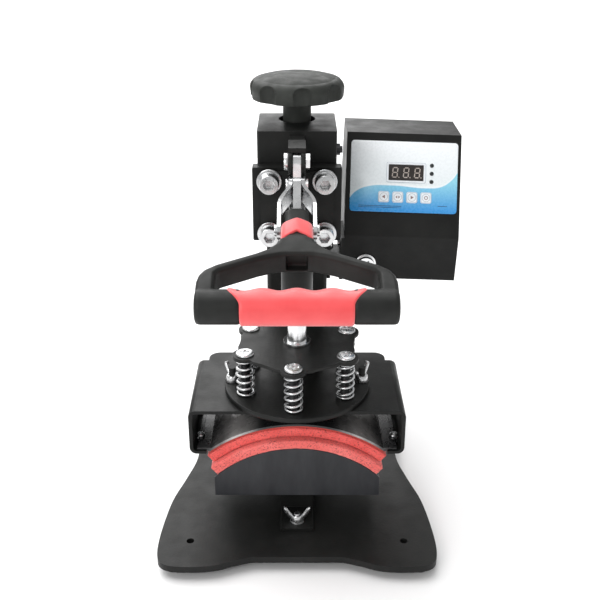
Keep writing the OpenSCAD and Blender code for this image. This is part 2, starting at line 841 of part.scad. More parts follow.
// One yoke plate: a lug at the lever bar, a flare outwards and a leg along the handle's neck
module yoke_plate() {
    lug_x = bar_t / 2 + 0.1;
    lug = yoke_bolt_local;
    leg_y0 = -14.5;
    leg_y1 = neck_bolt_y - 7;
    difference() {
        union() {
            side_plate(lug_x, lug_x + yoke_t) union() {
                translate(lug) circle(7);
                polygon([lug + [-6.5, 3], lug + [-7, -3], lug + [-3, -6.3], lug + [-6.5, -9.5],
                    lug + [-11, -15], lug + [-12, -2]]);
            }
            hull() {
                translate([lug_x, leg_y0 + 2.7, -6.5]) cube([yoke_t, 2, 12]);
                translate([yoke_leg_x, leg_y0 - 1, -6.5]) cube([yoke_t, 2, 13]);
            }
            side_plate(yoke_leg_x, yoke_leg_x + yoke_t) {
                translate([leg_y1 + 6.5, -6.5]) square([leg_y0 - leg_y1 - 6.5, 13]);
                translate([leg_y1 + 6.5, 0]) circle(6.5);
            }
        }
        cross_shaft(lug, 3 + fit_gap, 30);
        cross_shaft([neck_bolt_y, 0], 2.5 + fit_gap, 30);
    }
}

module yoke_plates() {
    color(zinc) at_handle() for (m = [0, 1]) mirror([m, 0, 0]) yoke_plate();
}

module lever_pins() {
    outer = bar_t / 2 + 0.2 + yoke_t;
    color(zinc) {
        cross_shaft(yoke_bolt_at, 3, outer + 1.4);
        for (m = [0, 1]) mirror([m, 0, 0]) translate([outer, yoke_bolt_at[0], yoke_bolt_at[1]])
            rotate([0, 90, 0]) cylinder(h = 2.4, r = 5, $fn = m == 0 ? 6 : 32);
        cross_shaft([0, elbow_z], link_pin_r, bar_t / 2 + 0.5 + link_t);
        for (m = [0, 1]) mirror([m, 0, 0]) translate([bar_t / 2 + 0.5 + link_t, 0, elbow_z])
            rotate([0, 90, 0]) cylinder(h = 1.6, r = 5);
        at_handle() {
            cross_shaft([neck_bolt_y, 0], 2.5, yoke_leg_x + yoke_t + 1);
            for (m = [0, 1]) mirror([m, 0, 0])
                translate([yoke_leg_x + yoke_t + tiny, neck_bolt_y, 0])
                    rotate([0, 90, 0]) cylinder(h = 2, r = 4.5);
        }
    }
}

// Plan of the handle's frame: neck, fork, two arms and the two side pieces, -Y forwards
module handle_plan() {
    half = handle_w / 2;
    for (m = [0, 1]) mirror([m, 0]) polygon([[-tiny, -54.6], [12.5, -56.4], [14.3, -63.5], [21, -70.5],
        [30, -75.5], [58, -88], [half - 5, -93.5], [half - 1.5, -99], [half, -106],
        [half, -grip_reach], [half - 13.5, -grip_reach], [half - 13.5, -98], [half - 16, -95],
        [28, -82.6], [21, -80.2], [12, -77.8], [-tiny, -77.8]]);
}

module handle_frame() {
    neck_half = 9.6;
    color(plastic_black) at_handle() difference() {
        union() {
            translate([0, 0, -frame_t / 2]) linear_extrude(frame_t) handle_plan();
            translate([0, 0, -neck_half]) linear_extrude(2 * neck_half)
                polygon([[-neck_half, -58], [neck_half, -58], [neck_half, -24.5], [5.5, -21.4],
                    [-5.5, -21.4], [-neck_half, -24.5]]);
            for (m = [0, 1]) mirror([m, 0, 0]) translate([grip_half + fit_gap, -grip_reach, 0])
                rotate([0, 90, 0]) cylinder(h = handle_w / 2 - grip_half - fit_gap, r = tube_r);
            translate([0, -grip_reach, 0]) rotate([0, 90, 0])
                cylinder(h = 2 * grip_half + 1, r = 8, center = true);
        }
        translate([-8, -84, -8]) cube([16, 14, 16]);
        cross_shaft([neck_bolt_y, 0], 2.5 + fit_gap, 30);
    }
}

module neck_sleeve() {
    core = 9.6 + 0.05;
    outer = 12.1;
    tip = 1.8;
    color(grip_red) at_handle() difference() {
        intersection() {
            translate([0, -30, 0]) rotate([90, 0, 0]) round_box([2 * outer, 2 * outer - 3, 30], 5);
            translate([0, 0, -20]) linear_extrude(40)
                polygon([[0, -37.3], [-14, -37.3 - tip], [-14, -54.2 - tip], [0, -54.2],
                    [14, -54.2 - tip], [14, -37.3 - tip]]);
        }
        translate([-core, -62, -core]) cube([2 * core, 34, 2 * core]);
        cross_shaft([neck_bolt_y, 0], 2.5 + fit_gap, 30);
    }
}

module hand_grip() {
    wave = 1.6;
    count = 4;
    pitch = 2 * grip_half / count;
    color(grip_red) at_handle() translate([0, -grip_reach, 0]) rotate([0, 90, 0]) difference() {
        cylinder(h = 2 * grip_half, r = grip_r, center = true);
        cylinder(h = 2 * grip_half + 2, r = 8 + fit_gap, center = true);
        for (k = [0:count - 1]) translate([0, grip_r + 20 - wave, (k - (count - 1) / 2) * pitch])
            rotate([0, 90, 0]) cylinder(h = 40, r = 20, center = true);
    }
}

module toggle_links() {
    inner = bar_t / 2 + 0.3;
    color(zinc) difference() {
        for (m = [0, 1]) mirror([m, 0, 0]) side_plate(inner, inner + link_t) hull() {
            translate([0, elbow_z]) circle(6.5);
            translate([0, pin_z]) circle(6.5);
        }
        cross_shaft([0, elbow_z], link_pin_r + fit_gap, 10);
        cross_shaft([0, pin_z], link_pin_r + fit_gap, 10);
    }
}

module plunger_pin() {
    outer = bar_t / 2 + 0.3 + link_t + tiny;
    color(zinc) {
        cross_shaft([0, pin_z], link_pin_r, outer + 0.5);
        for (m = [0, 1]) mirror([m, 0, 0]) translate([outer, 0, pin_z])
            rotate([0, 90, 0]) cylinder(h = 1.6, r = 5);
    }
}

module plunger() {
    slot_r = link_pin_r + 0.3;
    color(chrome) difference() {
        union() {
            translate([0, 0, star_z - 8]) cylinder(h = 9 + star_t, r = spigot_r);
            translate([0, 0, star_top]) cylinder(h = collar_t, r = 11.5);
            translate([0, 0, star_top + 1]) cylinder(h = rod_top - star_top - 1, r = rod_r);
            intersection() {
                translate([0, 0, rod_top - 1]) cylinder(h = tongue_top - rod_top + 1, r = rod_r);
                translate([0, 0, rod_top]) cube([bar_t, 40, 80], center = true);
            }
        }
        side_plate(-10, 10) {
            translate([0, pin_z]) circle(slot_r);
            translate([0, pin_z - slot_drop]) circle(slot_r);
            translate([-slot_r, pin_z - slot_drop]) square([2 * slot_r, slot_drop]);
        }
    }
}

module star_plate() {
    lobe_r = 10.6;
    arc_at = 110.3;
    arc_r = norm([arc_at * cos(30) - spring_ring, arc_at * sin(30)]) - lobe_r;
    color(black) translate([0, 0, star_z]) difference() {
        linear_extrude(star_t) {
            difference() {
                circle(50, $fn = 180);
                for (a = spring_angles) rotate(a + 30) translate([arc_at, 0]) circle(arc_r, $fn = 180);
            }
            for (a = spring_angles) rotate(a) translate([spring_ring, 0]) circle(lobe_r);
        }
        translate([0, 0, -1]) cylinder(h = star_t + 2, r = spigot_r + fit_gap);
        for (a = spring_angles) rotate([0, 0, a]) translate([spring_ring, 0, -1])
            cylinder(h = star_t + 2, r = spring_screw_r + 0.3);
    }
}

module plunger_nut() {
    color(zinc) translate([0, 0, star_z - 7 - tiny]) difference() {
        cylinder(h = 7, r = 10.4, $fn = 6);
        translate([0, 0, -1]) cylinder(h = 9, r = spigot_r + fit_gap);
    }
}

// ---- heating platen ----------------------------------------------------------------------------

module spring_disc() {
    color(black) translate([0, 0, bracket_top]) difference() {
        cylinder(h = disc_t, r = disc_r, $fn = 180);
        for (a = spring_angles) rotate([0, 0, a]) translate([spring_ring, 0, -1])
            cylinder(h = disc_t + 2, r = spring_screw_r + fit_gap);
        for (x = [-1, 1]) translate([x * nut_x, 0, -1]) cylinder(h = disc_t + 2, r = nut_stud_r + 0.3);
    }
}

module spring_screws() {
    color(zinc) for (a = spring_angles) rotate([0, 0, a]) translate([spring_ring, 0, star_top + tiny])
        pan_screw(spring_screw_r, star_top - bracket_top - 0.3, 7.6, 3);
}

// Point on the coil's middle line after t turns, and the ring of wire round it
spring_z0 = disc_top + 0.3;
spring_z1 = star_z - 0.3;
coil_r = (spring_od - spring_wire) / 2;
wire_sides = 6;
steps_per_turn = 12;
function coil_ring(t) = let (rise = spring_z1 - spring_z0 - spring_wire,
        z = spring_z0 + spring_wire / 2 + rise * t / spring_turns)
    [for (s = [0:wire_sides - 1]) let (b = 360 * s / wire_sides, r = coil_r + spring_wire / 2 * cos(b))
        [r * cos(360 * t), r * sin(360 * t), z + spring_wire / 2 * sin(b)]];

module coil_spring() {
    rings = spring_turns * steps_per_turn;
    points = [for (k = [0:rings]) each coil_ring(k / steps_per_turn)];
    polyhedron(points, [
        [for (s = [0:wire_sides - 1]) s],
        [for (s = [wire_sides - 1:-1:0]) rings * wire_sides + s],
        for (k = [0:rings - 1], s = [0:wire_sides - 1]) let (n = (s + 1) % wire_sides)
            each [[k * wire_sides + s, (k + 1) * wire_sides + s, (k + 1) * wire_sides + n],
                [k * wire_sides + s, (k + 1) * wire_sides + n, k * wire_sides + n]]]);
}

module pressure_springs() {
    color(zinc) for (a = spring_angles) rotate([0, 0, a]) translate([spring_ring, 0, 0]) coil_spring();
}

module element_bracket() {
    half = bracket_w / 2;
    color(black) {
        difference() {
            union() {
                front_plate(bracket_y0, bracket_y1) difference() {
                    round_rect(-half, bracket_bottom, half, bracket_top, 6);
                    round_rect(-half + bracket_t, bracket_bottom + 2.5, half - bracket_t,
                        bracket_top - bracket_t, 3);
                    translate([-half + lip_w, bracket_bottom - 1]) square([bracket_w - 2 * lip_w, 10]);
                }
                translate([0, bracket_y1 - 15, bracket_top - bracket_t]) round_box([160, 60, bracket_t], 10);
            }
            for (m = [0, 1]) mirror([m, 0, 0]) for (y = lip_screws_y)
                translate([half - lip_w / 2, y, bracket_bottom - 1]) round_box([5, 12, 5], 2.4);
            for (x = [-1, 1]) translate([x * nut_x, 0, bracket_top - 5])
                cylinder(h = 8, r = nut_stud_r - tiny);
        }
        for (x = [-1, 1]) translate([x * nut_x, 0, bracket_top - bracket_t])
            cylinder(h = 21, r = nut_stud_r);
    }
}

module element_wing_nut(side) {
    color(zinc) translate([side * nut_x, 0, disc_top + 0.3]) rotate([0, 0, 60 * side])
        wing_nut(nut_stud_r, 24);
}

module element_wing_nut_left() {
    element_wing_nut(-1);
}

module element_wing_nut_right() {
    element_wing_nut(1);
}

shell_tab_z = bracket_bottom + 2.6;

module heater_shell() {
    t = 2;
    tab_x0 = (shell_r + 0.4) * sin(shell_angle - 0.8);
    color([0.2, 0.2, 0.21]) {
        arc_band(shell_r, shell_r + t, shell_angle, -upper_half_d - 1, upper_half_d + 1);
        for (m = [0, 1]) mirror([m, 0, 0]) difference() {
            translate([tab_x0, -upper_half_d - 1, shell_tab_z]) cube([84 - tab_x0, 2 * upper_half_d + 2, t]);
            for (y = lip_screws_y) translate([bracket_w / 2 - lip_w / 2, y, shell_tab_z - 1])
                cylinder(h = t + 2, r = 2.2);
        }
    }
}

module heater_mat() {
    color([0.75, 0.2, 0.16]) arc_band(mat_r, mat_r + mat_t, 38, -upper_half_d + 1, upper_half_d - 1);
}

module upper_pad() {
    color(sponge_red) arc_band(upper_pad_r, upper_pad_r + upper_pad_t, 40.5, -upper_half_d, upper_half_d);
}

module shell_screws() {
    x = bracket_w / 2 - lip_w / 2;
    color(zinc) for (m = [0, 1]) mirror([m, 0, 0]) for (y = lip_screws_y) {
        translate([x, y, shell_tab_z + 2 + tiny]) pan_screw(2, 9, 3.8, 2.6);
        translate([x, y, bracket_bottom - 3.2 - tiny]) difference() {
            cylinder(h = 3.2, r = 4, $fn = 6);
            translate([0, 0, -1]) cylinder(h = 6, r = 2 + fit_gap);
        }
    }
}

// ---- assembly ------------------------------------------------------------------------------------

base_plate();
rubber_feet();
foot_screws();
column();
column_bolts();
lead_nut();
saddle_arch();
saddle_end_plates();
saddle_post();
lower_pad();
saddle_studs();
saddle_wing_nut_front();
saddle_wing_nut_rear();
control_bracket();
bracket_bolts();
control_case();
control_back_cover();
cover_screws();
label_panel();
display_window();
indicator_lamps();
key_1();
key_2();
key_3();
key_4();
heater_socket();
mains_inlet();
power_rocker();
control_electronics();
head_box();
gib_pads();
gib_screws();
carriage_plate();
clamp_body();
clamp_bolts();
guide_bush();
lever_pivot_bolt();
knob();
lead_screw();
lever_bar();
yoke_plates();
lever_pins();
handle_frame();
neck_sleeve();
hand_grip();
toggle_links();
plunger_pin();
plunger();
star_plate();
plunger_nut();
spring_disc();
spring_screws();
pressure_springs();
element_bracket();
element_wing_nut_left();
element_wing_nut_right();
heater_shell();
heater_mat();
upper_pad();
shell_screws();
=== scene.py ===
import json
import math

import bmesh
import bpy
from mathutils import Matrix, Vector, noise


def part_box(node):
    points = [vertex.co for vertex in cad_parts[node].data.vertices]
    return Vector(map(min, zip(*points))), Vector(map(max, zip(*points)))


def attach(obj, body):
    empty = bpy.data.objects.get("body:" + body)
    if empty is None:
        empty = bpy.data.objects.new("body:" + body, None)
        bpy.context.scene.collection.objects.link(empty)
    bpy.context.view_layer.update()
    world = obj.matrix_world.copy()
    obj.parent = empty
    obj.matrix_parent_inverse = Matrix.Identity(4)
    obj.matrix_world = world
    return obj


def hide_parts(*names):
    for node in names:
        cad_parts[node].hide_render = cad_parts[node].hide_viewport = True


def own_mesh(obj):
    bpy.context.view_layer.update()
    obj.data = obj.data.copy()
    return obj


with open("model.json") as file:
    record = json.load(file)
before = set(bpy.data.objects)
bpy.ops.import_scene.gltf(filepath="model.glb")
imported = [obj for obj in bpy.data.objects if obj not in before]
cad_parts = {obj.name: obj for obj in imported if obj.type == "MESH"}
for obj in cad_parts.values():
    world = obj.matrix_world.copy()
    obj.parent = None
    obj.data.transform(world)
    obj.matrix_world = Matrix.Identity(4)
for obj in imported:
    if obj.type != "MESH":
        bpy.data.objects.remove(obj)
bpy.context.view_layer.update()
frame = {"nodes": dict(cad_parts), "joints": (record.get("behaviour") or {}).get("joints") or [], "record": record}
nodes = frame["nodes"]
MM = 0.001


# ---- material nodes ---------------------------------------------------------------------------


class Shader:
    """A material with a Principled shader, and short calls that add texture nodes to it."""

    def __init__(self, name, **values):
        self.material = bpy.data.materials.new(name)
        self.material.use_nodes = True
        self.tree = self.material.node_tree
        self.bsdf = self.tree.nodes["Principled BSDF"]
        for socket, value in values.items():
            self.set(socket.replace("_", " "), value)

    def set(self, socket, value):
        if isinstance(value, tuple) and len(value) == 3:
            value = (*value, 1.0)
        self.bsdf.inputs[socket].default_value = value

    def node(self, kind, **settings):
        made = self.tree.nodes.new(kind)
        for name, value in settings.items():
            setattr(made, name, value)
        return made

    def link(self, output, target):
        self.tree.links.new(output, target)

    def to_bsdf(self, output, socket):
        self.link(output, self.bsdf.inputs[socket])

    def object_space(self, scale=(1, 1, 1)):
        place = self.node("ShaderNodeMapping")
        place.inputs["Scale"].default_value = scale
        self.link(self.node("ShaderNodeTexCoord").outputs["Object"], place.inputs["Vector"])
        return place.outputs["Vector"]

    def noise(self, scale, detail=3.0, rough=0.55, stretch=(1, 1, 1)):
        made = self.node("ShaderNodeTexNoise")
        made.inputs["Scale"].default_value = scale
        made.inputs["Detail"].default_value = detail
        made.inputs["Roughness"].default_value = rough
        self.link(self.object_space(stretch), made.inputs["Vector"])
        return made.outputs["Fac"]

    def cells(self, scale):
        made = self.node("ShaderNodeTexVoronoi")
        made.inputs["Scale"].default_value = scale
        self.link(self.object_space(), made.inputs["Vector"])
        return made.outputs["Distance"]

    def ramp(self, source, low, high, start=0.35, end=0.65):
        """A colour or grey that runs from low to high while source runs from start to end."""
        made = self.node("ShaderNodeValToRGB")
        for element, place, value in zip(made.color_ramp.elements, (start, end), (low, high)):
            element.position = place
            element.color = (*value, 1) if isinstance(value, tuple) else (value, value, value, 1)
        self.link(source, made.inputs["Fac"])
        return made.outputs["Color"]

    def mix(self, share, a, b):
        made = self.node("ShaderNodeMix", data_type="RGBA")
        for socket, value in ((made.inputs["Factor"], share), (made.inputs["A"], a), (made.inputs["B"], b)):
            if isinstance(value, bpy.types.NodeSocket):
                self.link(value, socket)
            else:
                socket.default_value = (*value, 1) if isinstance(value, tuple) else value
        return made.outputs["Result"]

    def math(self, operation, a, b=0.0):
        made = self.node("ShaderNodeMath", operation=operation)
        for socket, value in zip(made.inputs, (a, b)):
            if isinstance(value, bpy.types.NodeSocket):
                self.link(value, socket)
            else:
                socket.default_value = value
        return made.outputs["Value"]

    def bump(self, height, distance, strength=1.0, below=None):
        made = self.node("ShaderNodeBump")
        made.inputs["Distance"].default_value = distance
        made.inputs["Strength"].default_value = strength
        self.link(height, made.inputs["Height"])
        if below is not None:
            self.link(below, made.inputs["Normal"])
        return made.outputs["Normal"]


def powder_coat():
    """Fine orange-peel texture over black, a little lighter where it is rubbed."""
    s = Shader("powder_coat", IOR=1.5, Specular_IOR_Level=0.2)
    rubbed = s.noise(38, 4)
    s.to_bsdf(s.ramp(rubbed, (0.007, 0.0073, 0.007), (0.013, 0.0133, 0.0125), 0.3, 0.7), "Base Color")
    s.to_bsdf(s.ramp(s.noise(60, 5), 0.38, 0.5), "Roughness")
    peel = s.bump(s.noise(1400, 2), 0.00012, 0.5)
    s.to_bsdf(s.bump(s.noise(420, 2), 0.00025, 0.35, peel), "Normal")
    return s.material


def black_moulding():
    """Nylon moulding: fine spark texture and faint flow marks."""
    s = Shader("black_moulding", IOR=1.46, Specular_IOR_Level=0.25)
    s.to_bsdf(s.ramp(s.noise(30, 3), (0.009, 0.0095, 0.009), (0.016, 0.0168, 0.0155)), "Base Color")
    s.to_bsdf(s.ramp(s.noise(90, 4), 0.42, 0.58), "Roughness")
    s.to_bsdf(s.bump(s.noise(2600, 2), 0.00008, 0.6), "Normal")
    return s.material


def knob_moulding():
    """The knob's duller grey-black, with a coarser spark texture."""
    s = Shader("knob_moulding", IOR=1.46, Specular_IOR_Level=0.3)
    s.to_bsdf(s.ramp(s.noise(25, 4), (0.019, 0.021, 0.0185), (0.034, 0.037, 0.033)), "Base Color")
    s.to_bsdf(s.ramp(s.noise(120, 4), 0.5, 0.68), "Roughness")
    s.to_bsdf(s.bump(s.noise(1900, 3), 0.00012, 0.7), "Normal")
    return s.material


def grip_rubber():
    """Soft red rubber, paler where light grazes it, with a dusty bloom."""
    s = Shader("grip_rubber", IOR=1.5, Sheen_Weight=0.45, Sheen_Roughness=0.5)
    s.to_bsdf(s.ramp(s.noise(45, 4), (0.74, 0.055, 0.06), (0.8, 0.075, 0.08)), "Base Color")
    s.to_bsdf(s.ramp(s.noise(70, 4), 0.34, 0.46), "Roughness")
    s.to_bsdf(s.bump(s.noise(1800, 2), 0.00008, 0.5), "Normal")
    return s.material


def zinc():
    """Bright zinc plating: mottled roughness and fine scratches."""
    s = Shader("zinc", Metallic=1.0)
    s.to_bsdf(s.ramp(s.noise(70, 3), (0.56, 0.57, 0.58), (0.7, 0.7, 0.7)), "Base Color")
    s.to_bsdf(s.ramp(s.noise(110, 3), 0.22, 0.32), "Roughness")
    s.to_bsdf(s.bump(s.noise(500, 2, stretch=(1, 1, 0.12)), 0.00002, 0.15), "Normal")
    return s.material


def chrome():
    """Polished plunger rod and connector, with faint polishing rings."""
    s = Shader("chrome", Metallic=1.0)
    s.to_bsdf(s.ramp(s.noise(60, 3), (0.75, 0.76, 0.77), (0.88, 0.88, 0.88)), "Base Color")
    s.to_bsdf(s.ramp(s.noise(300, 4, stretch=(0.05, 0.05, 1)), 0.14, 0.24), "Roughness")
    return s.material


def black_oxide():
    s = Shader("black_oxide", Metallic=1.0)
    s.to_bsdf(s.ramp(s.noise(120, 4), (0.03, 0.03, 0.032), (0.07, 0.07, 0.072)), "Base Color")
    s.to_bsdf(s.ramp(s.noise(200, 4), 0.3, 0.5), "Roughness")
    return s.material


def bronze():
    s = Shader("bronze", Metallic=1.0)
    s.to_bsdf(s.ramp(s.noise(90, 4), (0.45, 0.29, 0.12), (0.62, 0.43, 0.2)), "Base Color")
    s.to_bsdf(s.ramp(s.noise(400, 3, stretch=(0.1, 0.1, 1)), 0.22, 0.38), "Roughness")
    return s.material


def nylon():
    s = Shader("nylon", Subsurface_Weight=0.15)
    s.to_bsdf(s.ramp(s.noise(80, 3), (0.74, 0.73, 0.68), (0.82, 0.81, 0.76)), "Base Color")
    s.to_bsdf(s.ramp(s.noise(150, 3), 0.4, 0.55), "Roughness")
    return s.material


def sponge(name, dark, light):
    """Silicone sponge: open pores of two sizes, with painted shade inside them, on an uneven red."""
    s = Shader(name, IOR=1.43, Sheen_Weight=0.2, Sheen_Roughness=0.5)
    fine = s.cells(900)
    coarse = s.cells(330)
    tone = s.ramp(s.noise(55, 4), dark, light)
    pore_and_painted_shade = s.math("MULTIPLY", s.ramp(fine, 0.0, 1.0, 0.08, 0.4), s.ramp(coarse, 0.0, 1.0, 0.06, 0.24))
    # Painted shade: the inside of each pore is darkened to 0.28 of the sponge's dark tone; the same pore mask also
    # drives the bump.
    s.to_bsdf(s.mix(pore_and_painted_shade, tuple(0.28 * c for c in dark), tone), "Base Color")
    s.to_bsdf(s.ramp(s.noise(200, 3), 0.62, 0.8), "Roughness")
    s.to_bsdf(s.bump(pore_and_painted_shade, 0.0004, 0.7), "Normal")
    return s.material


def silicone_mat():
    s = Shader("silicone_mat", IOR=1.42)
    s.to_bsdf(s.ramp(s.noise(70, 3), (0.4, 0.035, 0.025), (0.5, 0.05, 0.035)), "Base Color")
    s.to_bsdf(s.ramp(s.noise(120, 3), 0.35, 0.5), "Roughness")
    s.to_bsdf(s.bump(s.cells(1100), 0.0001, 0.4), "Normal")
    return s.material


def dark_sheet():
    """Dark sheet steel: near black in the middle, with a painted reflection, a milky pale patch, on each flank."""
    s = Shader("dark_sheet", Metallic=0.4, IOR=1.6)
    split = s.node("ShaderNodeSeparateXYZ")
    s.link(s.object_space(), split.inputs["Vector"])
    flank = s.math("ABSOLUTE", split.outputs["X"])
    # Painted reflection: the base colour turns milky pale on each flank (|x| 30 to 75 mm), broken up by noise.
    painted_reflection = s.math("MULTIPLY", s.ramp(flank, 0.0, 1.0, 0.03, 0.05), s.ramp(flank, 1.0, 0.0, 0.055, 0.075))
    painted_reflection = s.math("MULTIPLY", painted_reflection, s.ramp(s.noise(38, 3, stretch=(1, 0.4, 1)), 0.25, 1.0, 0.35, 0.6))
    s.to_bsdf(s.mix(painted_reflection, (0.02, 0.02, 0.021), (0.5, 0.48, 0.47)), "Base Color")
    s.to_bsdf(s.ramp(s.noise(90, 4), 0.2, 0.34), "Roughness")
    return s.material


def saddle_coat():
    """The saddle's thinner coat, greyer and smudged in upright streaks."""
    s = Shader("saddle_coat", IOR=1.5, Specular_IOR_Level=0.3)
    streaks = s.noise(70, 4, stretch=(1, 1, 0.3))
    s.to_bsdf(s.ramp(streaks, (0.019, 0.02, 0.023), (0.036, 0.037, 0.041), 0.3, 0.7), "Base Color")
    s.to_bsdf(s.ramp(s.noise(60, 4, stretch=(1, 1, 0.3)), 0.3, 0.46), "Roughness")
    s.to_bsdf(s.bump(s.noise(900, 2), 0.0001, 0.4), "Normal")
    return s.material


def rubber():
    s = Shader("foot_rubber", IOR=1.5)
    s.to_bsdf(s.ramp(s.noise(90, 3), (0.012, 0.012, 0.012), (0.022, 0.022, 0.022)), "Base Color")
    s.to_bsdf(s.ramp(s.noise(150, 3), 0.65, 0.85), "Roughness")
    s.to_bsdf(s.bump(s.noise(1500, 2), 0.0001, 0.6), "Normal")
    return s.material


def board():
    s = Shader("board", IOR=1.5)
    s.to_bsdf(s.ramp(s.noise(150, 3), (0.02, 0.12, 0.05), (0.03, 0.18, 0.08)), "Base Color")
    s.to_bsdf(s.ramp(s.noise(200, 3), 0.3, 0.45), "Roughness")
    return s.material


def smooth_plastic(name, dark, light, low=0.2, high=0.32):
    s = Shader(name, IOR=1.48)
    s.to_bsdf(s.ramp(s.noise(110, 3), dark, light), "Base Color")
    s.to_bsdf(s.ramp(s.noise(260, 4), low, high), "Roughness")
    return s.material


def make_materials():
    return {
        "black_powder_coat": powder_coat(),
        "black_rubber": rubber(),
        "black_moulding": black_moulding(),
        "knob_moulding": knob_moulding(),
        "red_grip_rubber": grip_rubber(),
        "zinc_plate": zinc(),
        "chrome_steel": chrome(),
        "black_steel": black_oxide(),
        "bronze": bronze(),
        "white_nylon": nylon(),
        # Both pads are the same sponge: the upper pad's copy is darker, painted shade, and the lower pad's copy
        # lighter, painted light.
        "red_sponge": sponge("upper_sponge", (0.78, 0.09, 0.08), (0.86, 0.13, 0.115)),
        "red_sponge_painted_lighter": sponge("lower_sponge", (0.84, 0.14, 0.125), (0.92, 0.2, 0.18)),
        "red_silicone": silicone_mat(),
        "dark_steel": dark_sheet(),
        "saddle_coat": saddle_coat(),
        "printed_film": smooth_plastic("film_back", (0.3, 0.65, 0.85), (0.35, 0.7, 0.9)),
        "dark_lens": smooth_plastic("dark_lens", (0.02, 0.016, 0.015), (0.03, 0.025, 0.023), 0.08, 0.14),
        "lamp_lens": smooth_plastic("lamp_lens", (0.01, 0.013, 0.014), (0.02, 0.024, 0.025), 0.1, 0.2),
        "white_key": smooth_plastic("white_key", (0.78, 0.82, 0.86), (0.84, 0.87, 0.9), 0.3, 0.42),
        "red_rocker": smooth_plastic("red_rocker", (0.5, 0.02, 0.02), (0.6, 0.035, 0.035)),
        "green_board": board(),
    }


materials = make_materials()


# ---- mesh helpers -------------------------------------------------------------------------------


def rings(sections, caps=True, loop=False, shade=0):
    """Quads between sections of equal length; caps close the first and last, loop joins them."""
    count = len(sections[0])
    points = [tuple(p) for section in sections for p in section]
    faces = []
    last = len(sections) if loop else len(sections) - 1
    for k in range(last):
        a, b = k * count, (k + 1) % len(sections) * count
        for s in range(count):
            n = (s + 1) % count
            faces.append((a + s, a + n, b + n, b + s))
    if caps and not loop:
        faces.append(tuple(range(count)))
        faces.append(tuple(len(points) - 1 - s for s in range(count)))
    return points, faces, shade


def lathe(profile, sides=48, shade=0):
    """A solid of revolution about Z from (radius, z) points; a radius of 0 closes an end."""
    turn = [2 * math.pi * s / sides for s in range(sides)]
    sections = [[(r * math.cos(a), r * math.sin(a), z) for a in turn] for r, z in profile]
    return rings(sections, caps=False, shade=shade)


def prism(outline, z0, z1, shade=0):
    """An outline of (x, y) points raised from z0 to z1."""
    return rings([[(x, y, z) for x, y in outline] for z in (z0, z1)], shade=shade)


def placed(part, matrix):
    points, faces, shade = part
    return [tuple(matrix @ Vector(p)) for p in points], faces, shade


def rounded(half_x, half_y, radius, steps=6):
    """Outline of a rectangle with rounded corners, centred on 0."""
    outline = []
    for corner, (sx, sy) in enumerate(((1, 1), (-1, 1), (-1, -1), (1, -1))):
        for k in range(steps + 1):
            a = math.radians(90 * corner + 90 * k / steps)
            outline.append((sx * (half_x - radius) + radius * math.cos(a),
                sy * (half_y - radius) + radius * math.sin(a)))
    return outline


def frame_ring(outer, inner, z0, z1, shade=0):
    """The band between two outlines with equal numbers of points, from z0 to z1."""
    sections = [[(x, y, z0) for x, y in outer], [(x, y, z1) for x, y in outer],
        [(x, y, z1) for x, y in inner], [(x, y, z0) for x, y in inner]]
    return rings(sections, loop=True, shade=shade)


def smooth_step(value, start, end):
    t = min(1, max(0, (value - start) / (end - start)))
    return t * t * (3 - 2 * t)


def spline(points, steps):
    """A Catmull-Rom curve through points of any dimension."""
    made = []
    last = len(points) - 1
    for k in range(last):
        p = [Vector(points[min(last, max(0, k + d))]) for d in (-1, 0, 1, 2)]
        for s in range(steps):
            t = s / steps
            made.append(0.5 * (2 * p[1] + (p[2] - p[0]) * t + (2 * p[0] - 5 * p[1] + 4 * p[2] - p[3]) * t ** 2
                + (3 * p[1] - p[0] - 3 * p[2] + p[3]) * t ** 3))
    return made + [Vector(points[-1])]


def build(name, parts, looks, matrix=None, angle=35):
    """One mesh object, in metres, from parts in millimetres. looks names the materials by shade."""
    mesh = bpy.data.meshes.new(name)
    shell = bmesh.new()
    for points, faces, shade in parts:
        made = [shell.verts.new(Vector(p) * MM) for p in points]
        for face in faces:
            shell.faces.new([made[k] for k in face]).material_index = shade
    bmesh.ops.remove_doubles(shell, verts=shell.verts, dist=1e-6)
    bmesh.ops.dissolve_degenerate(shell, edges=shell.edges, dist=1e-6)
    bmesh.ops.recalc_face_normals(shell, faces=shell.faces)
    shell.to_mesh(mesh)
    shell.free()
    for look in looks:
        mesh.materials.append(materials[look])
    made = bpy.data.objects.new(name, mesh)
    bpy.context.scene.collection.objects.link(made)
    if matrix is not None:
        made.matrix_world = matrix
    shade_smooth(mesh, angle)
    return made


def shade_smooth(mesh, angle):
    mesh.polygons.foreach_set("use_smooth", [True] * len(mesh.polygons))
    mesh.set_sharp_from_angle(angle=math.radians(angle))


def stands_for(piece, body, slot, *replaced):
    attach(piece, body)
    if replaced:
        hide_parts(*replaced)
    return piece


def bevel(piece, width, angle):
    """A small rounded edge wherever faces meet at more than the angle."""
    made = piece.modifiers.new("edge", "BEVEL")
    made.width = width * MM
    made.segments = 2
    made.limit_method = "ANGLE"
    made.angle_limit = math.radians(angle)
    made.harden_normals = True
    return piece


